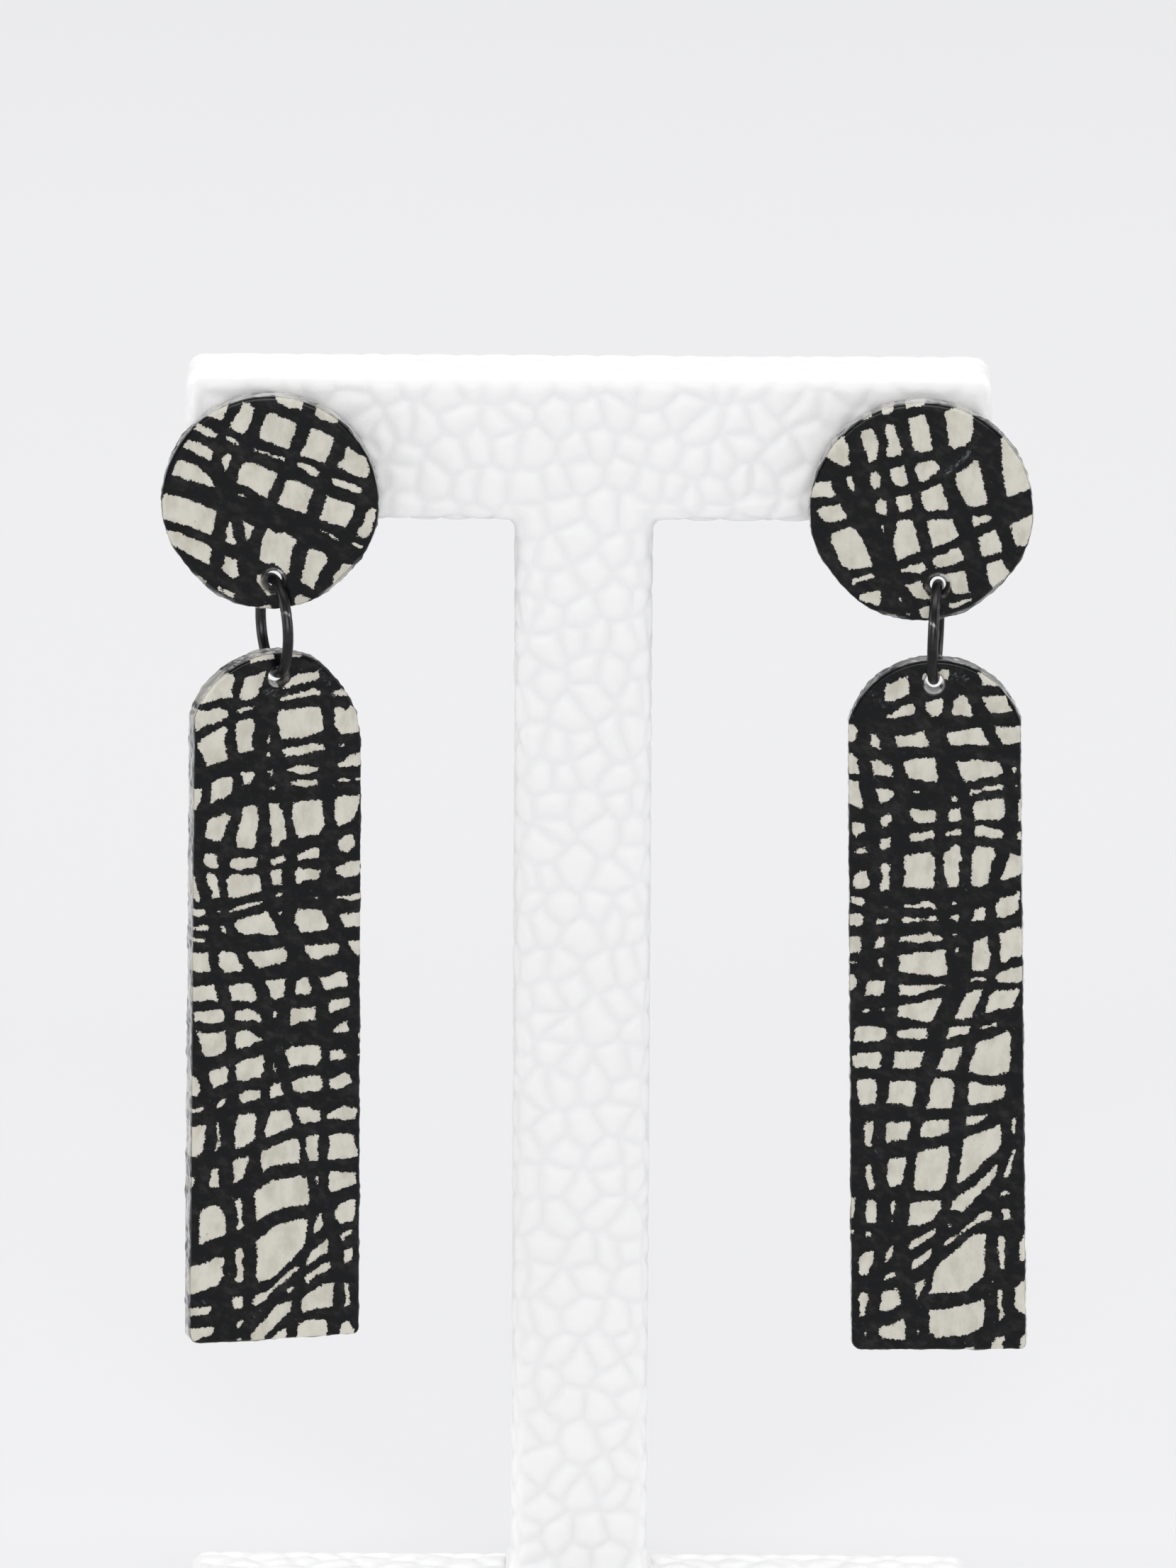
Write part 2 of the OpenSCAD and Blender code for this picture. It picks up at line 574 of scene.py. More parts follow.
LEFT_DISC_WINDOWS: Windows = (
    (-54, -74, -44, -83, -33, -87, -36, -79, -38, -73, -41, -69, -47, -71),
    (-23, -86, -16, -83, -13, -80, -16, -69, -20, -60, -23, -58, -33, -63, -33, -68, -27, -75),
    (2, -92, 15, -91, 28, -86, 26, -79, 14, -81, 6, -84),
    (39, -83, 48, -79, 58, -71, 55, -67, 47, -69, 36, -74),
    (0, -77, 9, -72, 14, -72, 22, -67, 20, -59, 15, -45, 12, -46, -9, -54, -9, -60, -4, -74),
    (33, -63, 41, -62, 54, -55, 49, -42, 45, -34, 42, -35, 25, -40, 25, -44, 29, -49),
    (65, -48, 70, -43, 79, -40, 83, -28, 79, -21, 73, -22, 55, -31, 56, -35, 60, -37, 63, -48),
    (-60, -67, -55, -64, -49, -63, -43, -57, -45, -55, -51, -55, -64, -62),
    (-68, -53, -57, -50, -48, -45, -47, -41, -50, -35, -61, -41, -73, -47),
    (-76, -37, -60, -31, -49, -21, -45, -13, -48, -13, -64, -18, -81, -23, -79, -31),
    (-36, -56, -31, -55, -24, -50, -27, -48, -36, -53),
    (-37, -42, -31, -41, -34, -31, -37, -27, -40, -32, -40, -38),
    (-13, -46, -4, -43, 13, -38, 13, -35, 3, -38, -9, -43, -13, -43),
    (-20, -35, -9, -32, 6, -25, 4, -18, 0, -10, -3, -4, -8, -6, -18, -13, -28, -17, -27, -24, -24,
     -32),
    (23, -35, 33, -32, 42, -27, 39, -22, 34, -24, 28, -28, 22, -32),
    (17, -20, 26, -17, 36, -12, 32, -1, 29, 9, 20, 6, 5, 1, 10, -9, 13, -19),
    (52, -22, 60, -20, 76, -13, 75, -8, 69, -9, 59, -13, 50, -17),
    (47, -7, 57, -2, 70, 1, 68, 11, 62, 21, 53, 18, 40, 14, 44, 4),
    (84, 3, 88, 5, 87, 14, 83, 26, 79, 30, 72, 28, 72, 23, 77, 16, 79, 8),
    (68, 33, 78, 36, 76, 39, 67, 35),
    (40, 22, 51, 26, 58, 31, 57, 33, 49, 28),
    (-88, -8, -74, -5, -60, 0, -45, 7, -46, 21, -49, 28, -54, 26, -65, 21, -92, 14, -92, 0),
    (-88, 23, -76, 25, -70, 29, -54, 34, -48, 40, -50, 47, -50, 53, -61, 49, -73, 42, -86, 34),
    (-35, 15, -31, 17, -31, 27, -28, 34, -30, 36, -37, 33, -36, 24),
    (-23, 15, -13, 20, -16, 29, -19, 33, -21, 28, -22, 20),
    (-2, 21, 5, 26, 12, 25, 22, 31, 18, 41, 17, 50, 15, 59, 13, 61, 9, 56, 2, 51, -4, 52, -9, 48,
     -8, 36, -5, 25),
    (32, 38, 44, 41, 48, 46, 44, 56, 41, 60, 36, 73, 32, 71, 25, 67, 27, 59, 29, 48),
    (-38, 43, -33, 47, -27, 48, -27, 54, -26, 62, -31, 64, -40, 58, -40, 54, -38, 51),
    (60, 51, 71, 53, 66, 61, 58, 69, 52, 72, 53, 61, 59, 56),
    (23, 77, 34, 81, 28, 87, 22, 90, 20, 84),
    (-43, 71, -30, 77, -30, 81, -35, 79, -43, 74),
    (-61, 62, -53, 67, -54, 72, -64, 65),
    (-11, 60, -11, 67, -7, 73, -2, 79, 1, 79, -3, 72, -6, 65, -7, 61),
    (-9, 87, 1, 87, 2, 93, -9, 93),
    (-28, -8, -22, -7, -16, -3, -19, -3, -27, -6),
)

RIGHT_DISC_WINDOWS: Windows = (
    (-55, -78, -50, -84, -43, -88, -41, -80, -47, -78),
    (-33, -93, -22, -96, -24, -85, -27, -83, -32, -82, -34, -85),
    (-16, -96, 3, -98, 3, -90, -6, -89, -14, -87),
    (-76, -55, -71, -61, -65, -64, -61, -55, -60, -39, -66, -38, -71, -41, -82, -47),
    (-51, -69, -42, -71, -40, -69, -36, -57, -37, -46, -40, -43, -44, -41, -47, -52, -51, -64),
    (-30, -74, -23, -75, -21, -67, -16, -53, -17, -49, -24, -46, -29, -47, -30, -54, -28, -58, -31,
     -67),
    (-12, -79, -4, -82, 2, -83, 6, -71, 7, -64, 9, -53, 1, -50, -6, -52, -9, -59, -11, -72),
    (18, -85, 27, -89, 35, -89, 42, -86, 42, -68, 40, -61, 35, -56, 27, -54, 22, -57, 22, -61, 20,
     -72),
    (65, -63, 70, -64, 79, -51, 90, -36, 96, -24, 92, -20, 82, -17, 71, -13, 68, -25, 66, -44),
    (-62, -31, -58, -30, -56, -23, -55, -19, -56, -17, -61, -22, -63, -28),
    (-42, -33, -38, -34, -34, -29, -34, -21, -39, -19, -42, -24, -43, -30),
    (-27, -36, -15, -40, -12, -31, -12, -23, -16, -21, -23, -23, -26, -32),
    (-5, -40, 1, -43, 11, -44, 15, -37, 13, -33, 7, -30, 3, -26, -2, -25, -4, -31, -6, -37),
    (44, -45, 47, -43, 51, -27, 55, -8, 45, -4, 38, -5, 32, -15, 28, -28, 28, -33, 35, -36, 40,
     -41),
    (-88, -25, -82, -26, -75, -26, -73, -19, -71, -15, -75, -11, -83, -12, -94, -12),
    (-87, -1, -80, -5, -67, -6, -62, 3, -62, 6, -72, 9, -79, 9, -84, 5),
    (-36, -10, -33, -12, -29, -9, -28, -3, -29, 3, -32, 3, -37, 0, -39, -6),
    (-21, -11, -19, -14, -9, -15, -8, -9, -8, -2, -15, 0, -19, 0, -20, -5),
    (-1, -17, 7, -21, 16, -24, 19, -14, 22, -8, 22, -2, 13, -2, 8, -1, 3, -2, 0, -9),
    (42, 3, 48, 4, 52, 2, 58, 2, 58, 7, 50, 9, 44, 13, 42, 7),
    (73, 10, 81, 6, 92, 1, 96, 5, 92, 17, 87, 29, 79, 28, 76, 20),
    (-75, 19, -59, 12, -54, 15, -50, 20, -46, 29, -40, 44, -41, 47, -51, 48, -59, 50, -66, 46, -71,
     35, -75, 25),
    (-20, 8, -13, 6, -7, 7, -4, 19, 0, 33, -9, 37, -19, 42, -22, 34, -23, 25, -21, 16),
    (4, 9, 8, 6, 15, 6, 26, 6, 31, 20, 24, 25, 16, 28, 10, 30, 8, 23),
    (47, 21, 53, 18, 62, 14, 65, 22, 67, 33, 58, 36, 50, 38, 49, 30),
    (10, 39, 22, 34, 25, 30, 31, 30, 34, 35, 36, 41, 24, 45, 13, 48, 10, 44),
    (-18, 49, -8, 45, 2, 42, 5, 48, 0, 52, -7, 52, -15, 51),
    (54, 44, 60, 42, 67, 40, 71, 46, 76, 52, 69, 61, 62, 66, 58, 62, 55, 53),
    (18, 54, 26, 51, 36, 49, 39, 59, 41, 68, 33, 69, 27, 68, 24, 63, 22, 58),
    (-13, 62, -6, 60, 0, 58, 3, 65, 7, 70, 12, 73, 5, 74, -1, 74, -6, 71, -8, 68),
    (-58, 57, -49, 55, -40, 52, -38, 56, -44, 57, -49, 59, -57, 62),
    (-51, 71, -43, 68, -34, 66, -32, 72, -33, 77, -35, 80, -43, 77, -50, 75),
    (24, 78, 33, 75, 43, 73, 43, 75, 34, 79, 28, 82, 24, 80),
    (-1, 83, 5, 80, 11, 80, 12, 85, 7, 91, 1, 91),
    (-14, 83, -9, 87, -7, 90, -11, 88),
    (-18, 71, -16, 73, -16, 76, -18, 74),
    (-33, 11, -30, 10, -31, 13, -30, 17, -32, 17),
    (-29, 86, -20, 87, -16, 94, -26, 92),
)

LEFT_DROP_WINDOWS: Windows = (
    (-71, 42, -74, 35, -64, 25, -52, 15, -45, 15, -39, 16, -37, 21, -40, 29, -39, 36, -50, 37, -57,
     39),
    (-29, 20, -24, 18, -16, 17, -10, 14, -14, 27, -18, 36, -24, 39, -32, 39, -33, 36, -31, 28),
    (-24, 9, -25, 5, -20, 0, -14, -4, -4, -4, -4, 5, -12, 6, -21, 7),
    (9, -3, 22, 0, 20, 5, 13, 5, 10, 3),
    (8, 26, 10, 22, 17, 18, 27, 18, 35, 17, 37, 23, 30, 26, 18, 27, 9, 30, 3, 31),
    (0, 41, 2, 38, 10, 36, 22, 34, 31, 31, 37, 34, 37, 37, 27, 38, 15, 40),
    (50, 34, 52, 32, 59, 31, 65, 33, 66, 37, 51, 37),
    (51, 47, 56, 46, 62, 49, 66, 45, 76, 50, 76, 68, 67, 71, 54, 71, 50, 62, 51, 54),
    (-76, 45, -60, 46, -51, 44, -43, 47, -43, 53, -54, 57, -64, 60, -70, 64, -72, 57),
    (-36, 49, -34, 46, -30, 45, -21, 45, -22, 47, -29, 48, -32, 50),
    (-36, 58, -30, 55, -22, 55, -20, 61, -22, 70, -22, 82, -32, 85, -35, 82, -37, 70),
    (-1, 53, 0, 49, 10, 48, 30, 47, 37, 47, 40, 59, 39, 69, 33, 70, 23, 73, 3, 74, 1, 65, -1, 60),
    (-70, 74, -62, 68, -47, 60, -43, 62, -46, 73, -44, 83, -42, 89, -51, 91, -61, 94, -65, 84),
    (-10, 73, -7, 70, -7, 77, -10, 76),
    (-10, 83, -6, 85, -6, 88, -9, 88),
    (2, 83, 10, 81, 21, 80, 29, 78, 39, 80, 40, 84, 27, 86, 23, 88, 7, 89),
    (52, 81, 57, 79, 57, 82, 52, 82),
    (51, 97, 61, 91, 76, 86, 76, 99, 61, 100, 52, 101),
    (7, 100, 15, 97, 21, 97, 29, 98, 38, 100, 31, 103, 23, 105, 10, 102),
    (-32, 100, -22, 100, -19, 102, -23, 110, -28, 111, -31, 112, -30, 107),
    (-10, 99, -4, 100, -3, 104, -7, 106, -8, 102),
    (-7, 115, -2, 112, -3, 117, -5, 117),
    (-57, 108, -51, 104, -39, 103, -39, 115, -44, 121, -52, 123, -58, 126, -57, 118),
    (-77, 112, -65, 112, -66, 122, -70, 130, -77, 131),
    (-61, 142, -58, 138, -50, 137, -45, 134, -40, 137, -44, 146, -48, 158, -55, 158, -62, 154),
    (-30, 131, -23, 128, -18, 130, -16, 141, -18, 154, -19, 165, -22, 166, -35, 164, -36, 155, -32,
     140),
    (-8, 128, 1, 128, 4, 136, 7, 152, 7, 158, 1, 164, -5, 166, -6, 151),
    (13, 128, 22, 127, 38, 127, 40, 148, 36, 157, 28, 157, 18, 160, 15, 154, 12, 142),
    (50, 126, 57, 124, 71, 125, 69, 137, 65, 146, 52, 151, 48, 142),
    (50, 112, 55, 109, 63, 111, 60, 113),
    (65, 111, 76, 109, 76, 113, 67, 112),
    (10, 111, 18, 109, 34, 110, 34, 114, 24, 116, 12, 114),
    (52, 163, 59, 158, 65, 158, 67, 168, 63, 171, 57, 174, 52, 170),
    (-64, 174, -62, 168, -52, 169, -51, 180, -54, 181, -62, 179),
    (-41, 177, -39, 174, -34, 173, -17, 174, -18, 182, -34, 184, -40, 181),
    (-7, 177, 0, 175, 5, 172, 7, 178, 1, 180, -2, 182, -6, 180),
    (17, 172, 31, 168, 36, 169, 36, 177, 23, 177, 18, 179),
    (-61, 184, -54, 185, -51, 191, -49, 207, -56, 207, -57, 199, -61, 193),
    (-44, 192, -40, 187, -16, 188, -13, 202, -21, 205, -37, 207, -42, 206),
    (-7, 188, -4, 185, 4, 185, 4, 198, -4, 198),
    (-3, 206, 4, 205, 5, 207, -1, 209),
    (15, 188, 18, 184, 26, 186, 37, 187, 36, 195, 24, 196, 17, 199, 15, 193),
    (50, 186, 62, 181, 72, 181, 72, 190, 68, 194, 58, 195, 51, 192),
    (50, 211, 61, 210, 76, 208, 76, 214, 62, 215),
    (29, 210, 36, 210, 35, 212, 30, 212),
    (-77, 160, -74, 165, -72, 182, -69, 195, -66, 206, -67, 210, -72, 207, -77, 208),
    (-77, 215, -63, 215, -61, 221, -67, 222, -77, 222),
    (-77, 230, -59, 229, -59, 234, -64, 234, -77, 232),
    (-77, 239, -61, 241, -63, 244, -77, 242),
    (-77, 252, -59, 253, -58, 262, -56, 268, -61, 270, -69, 270, -77, 266),
    (-53, 216, -48, 218, -48, 220, -52, 219),
    (-49, 231, -46, 228, -44, 233, -44, 237, -47, 237),
    (-41, 218, -34, 214, -23, 212, -12, 211, -12, 213, -25, 216, -31, 218, -40, 219),
    (-38, 228, -30, 225, -20, 223, -8, 220, -3, 230, 2, 241, -7, 241, -16, 239, -25, 240, -34, 237,
     -36, 233),
    (1, 222, 4, 221, 3, 225),
    (15, 225, 18, 220, 26, 220, 39, 222, 42, 231, 45, 238, 32, 240, 20, 240, 16, 232),
    (53, 226, 62, 226, 76, 224, 76, 238, 59, 237, 54, 231),
    (-50, 256, -48, 252, -35, 254, -33, 261, -28, 267, -31, 270, -44, 271, -50, 265),
    (-26, 254, -11, 254, 6, 252, 9, 257, 8, 263, 2, 266, -8, 267, -15, 270, -19, 266, -24, 259),
    (24, 251, 38, 251, 50, 250, 54, 253, 52, 261, 42, 262, 35, 264, 29, 263, 24, 257),
    (61, 250, 76, 249, 76, 264, 70, 263, 65, 259),
    (-77, 281, -63, 281, -55, 280, -52, 287, -50, 296, -57, 294, -77, 295),
    (-42, 283, -37, 281, -23, 281, -20, 286, -17, 293, -18, 298, -23, 298, -30, 296, -39, 295),
    (-10, 279, 8, 279, 7, 287, 5, 294, 0, 297, -5, 295, -7, 287),
    (17, 281, 22, 278, 27, 279, 30, 289, 29, 293, 15, 294, 16, 289),
    (36, 279, 45, 279, 53, 275, 60, 277, 61, 289, 50, 289, 42, 291, 38, 284),
    (70, 280, 76, 278, 76, 288, 71, 286),
    (-71, 303, -60, 303, -48, 302, -45, 306, -45, 313, -58, 314, -71, 311),
    (-36, 304, -25, 303, -18, 306, -13, 311, -13, 316, -20, 313, -30, 313, -36, 312),
    (-3, 305, 0, 306, -1, 312, -3, 312),
    (12, 304, 24, 305, 33, 304, 34, 316, 22, 317, 11, 320),
    (44, 302, 50, 299, 62, 298, 63, 306, 56, 308, 50, 309, 45, 312),
    (-69, 320, -59, 322, -44, 321, -43, 333, -44, 339, -54, 343, -62, 342, -66, 329),
    (-35, 322, -26, 321, -19, 325, -11, 330, -19, 333, -26, 336, -34, 337, -36, 331),
    (48, 326, 55, 320, 61, 318, 63, 327, 50, 328),
    (70, 330, 76, 325, 76, 336, 71, 335),
    (-36, 351, -30, 347, -17, 345, -12, 343, -10, 347, -11, 356, -13, 362, -20, 363, -26, 365, -33,
     365, -35, 357),
    (-59, 355, -51, 353, -44, 351, -41, 354, -42, 360, -40, 365, -50, 368, -54, 370, -57, 363),
    (-77, 359, -70, 358, -66, 364, -65, 371, -68, 376, -77, 376),
    (-77, 386, -68, 386, -62, 384, -62, 388, -69, 390, -77, 391),
    (-52, 384, -48, 380, -42, 379, -47, 386, -51, 387),
    (7, 341, 13, 338, 33, 337, 38, 339, 39, 351, 34, 355, 22, 354, 11, 356, 9, 347),
    (46, 343, 55, 342, 61, 347, 58, 351, 46, 352),
    (70, 347, 76, 347, 76, 351, 71, 350),
    (-3, 350, 0, 354, -1, 359, -3, 356),
    (13, 369, 19, 365, 38, 364, 41, 369, 39, 377, 21, 378, 15, 376),
    (-4, 369, 4, 368, 5, 374, 7, 379, 0, 380, -5, 382, -6, 378),
    (-32, 376, -24, 373, -14, 373, -13, 381, -21, 382, -28, 384, -32, 381),
    (46, 368, 53, 365, 60, 362, 64, 366, 66, 372, 59, 375, 53, 377, 46, 376),
    (-35, 399, -32, 394, -17, 393, -18, 405, -18, 416, -27, 421, -35, 423, -36, 410),
    (-52, 399, -50, 400, -48, 413, -48, 421, -53, 424, -51, 415, -51, 408),
    (-77, 403, -67, 401, -60, 400, -61, 413, -63, 423, -68, 428, -77, 429),
    (-7, 399, -4, 393, 11, 391, 13, 399, 15, 405, 13, 408, 3, 411, -5, 414, -9, 415, -10, 408),
    (17, 391, 29, 390, 32, 393, 38, 394, 39, 403, 22, 405, 19, 399),
    (44, 398, 50, 394, 60, 391, 66, 393, 71, 393, 69, 403, 63, 404, 52, 402, 44, 401),
    (46, 415, 61, 415, 67, 417, 70, 428, 71, 436, 64, 437, 44, 437, 46, 425),
    (25, 417, 29, 415, 37, 415, 36, 428, 37, 437, 29, 438, 26, 428),
    (-12, 426, -1, 422, 12, 417, 19, 417, 21, 426, 20, 438, 4, 439, -6, 441, -11, 444, -14, 436),
    (-37, 434, -32, 431, -23, 430, -25, 440, -28, 449, -32, 451, -37, 454, -36, 446),
    (-56, 443, -53, 439, -50, 438, -49, 455, -58, 455, -57, 449),
    (-77, 447, -70, 445, -70, 450, -73, 456, -77, 457),
    (-66, 479, -64, 474, -58, 471, -51, 470, -46, 475, -43, 484, -43, 497, -48, 499, -58, 501, -66,
     504, -66, 492),
    (-36, 468, -31, 466, -29, 471, -29, 484, -27, 490, -31, 494, -34, 492, -32, 487, -34, 474),
    (-18, 460, -11, 457, -3, 452, 9, 451, 20, 449, 27, 452, 29, 463, 29, 475, 10, 476, -4, 480, -16,
     486, -18, 472),
    (34, 451, 37, 450, 37, 455, 36, 459, 34, 455),
    (45, 452, 47, 447, 54, 448, 69, 450, 70, 459, 60, 462, 48, 466, 45, 460),
    (51, 482, 55, 476, 63, 472, 69, 473, 69, 487, 66, 491, 57, 494, 52, 489),
    (56, 503, 61, 499, 67, 499, 66, 503, 61, 505, 58, 509),
    (59, 517, 64, 515, 67, 513, 67, 521, 65, 528, 60, 528),
    (33, 501, 33, 493, 36, 485, 40, 483, 41, 495, 38, 498),
    (26, 527, 30, 517, 37, 511, 44, 506, 46, 508, 45, 517, 38, 521, 33, 525, 28, 528),
    (25, 537, 32, 533, 41, 527, 47, 525, 48, 531, 45, 534, 35, 537, 28, 544, 25, 540),
    (-17, 504, -11, 499, 0, 491, 10, 489, 18, 487, 28, 487, 27, 499, 26, 508, 20, 517, 10, 526, 0,
     535, -6, 538, -15, 540, -17, 533, -16, 520),
    (-20, 557, -16, 550, -7, 548, 0, 542, 10, 533, 19, 527, 21, 529, 11, 539, -2, 547, -8, 555, -18,
     561),
    (-35, 510, -30, 509, -27, 515, -29, 521, -27, 528, -28, 539, -33, 539, -35, 536, -33, 531, -34,
     520),
    (-73, 522, -60, 520, -51, 516, -45, 516, -43, 520, -46, 525, -45, 532, -50, 540, -59, 543, -77,
     549),
    (-77, 559, -63, 558, -56, 557, -54, 559, -58, 565, -63, 565, -77, 567),
    (-37, 551, -28, 551, -28, 562, -34, 562, -37, 559),
    (10, 549, 12, 546, 16, 545, 15, 549, 11, 551),
    (22, 558, 27, 552, 35, 548, 43, 544, 51, 544, 50, 555, 50, 565, 37, 566, 24, 568, 22, 564),
    (60, 545, 64, 546, 64, 556, 65, 565, 60, 565, 61, 557),
    (-21, 585, -15, 578, -8, 571, 0, 561, 7, 559, 15, 557, 14, 567, 7, 571, 0, 579, -7, 584, -12,
     596, -21, 596),
    (-4, 590, 3, 584, 10, 580, 10, 596, -3, 596),
    (21, 577, 30, 575, 39, 575, 45, 576, 46, 584, 45, 596, 19, 596, 19, 585),
    (56, 584, 58, 580, 64, 577, 66, 582, 69, 588, 68, 596, 55, 596),
    (-77, 576, -63, 576, -53, 575, -52, 580, -56, 584, -64, 585, -68, 588, -77, 589),
    (-34, 575, -30, 571, -27, 573, -29, 577, -33, 578),
    (-33, 588, -29, 587, -28, 590, -32, 590),
)

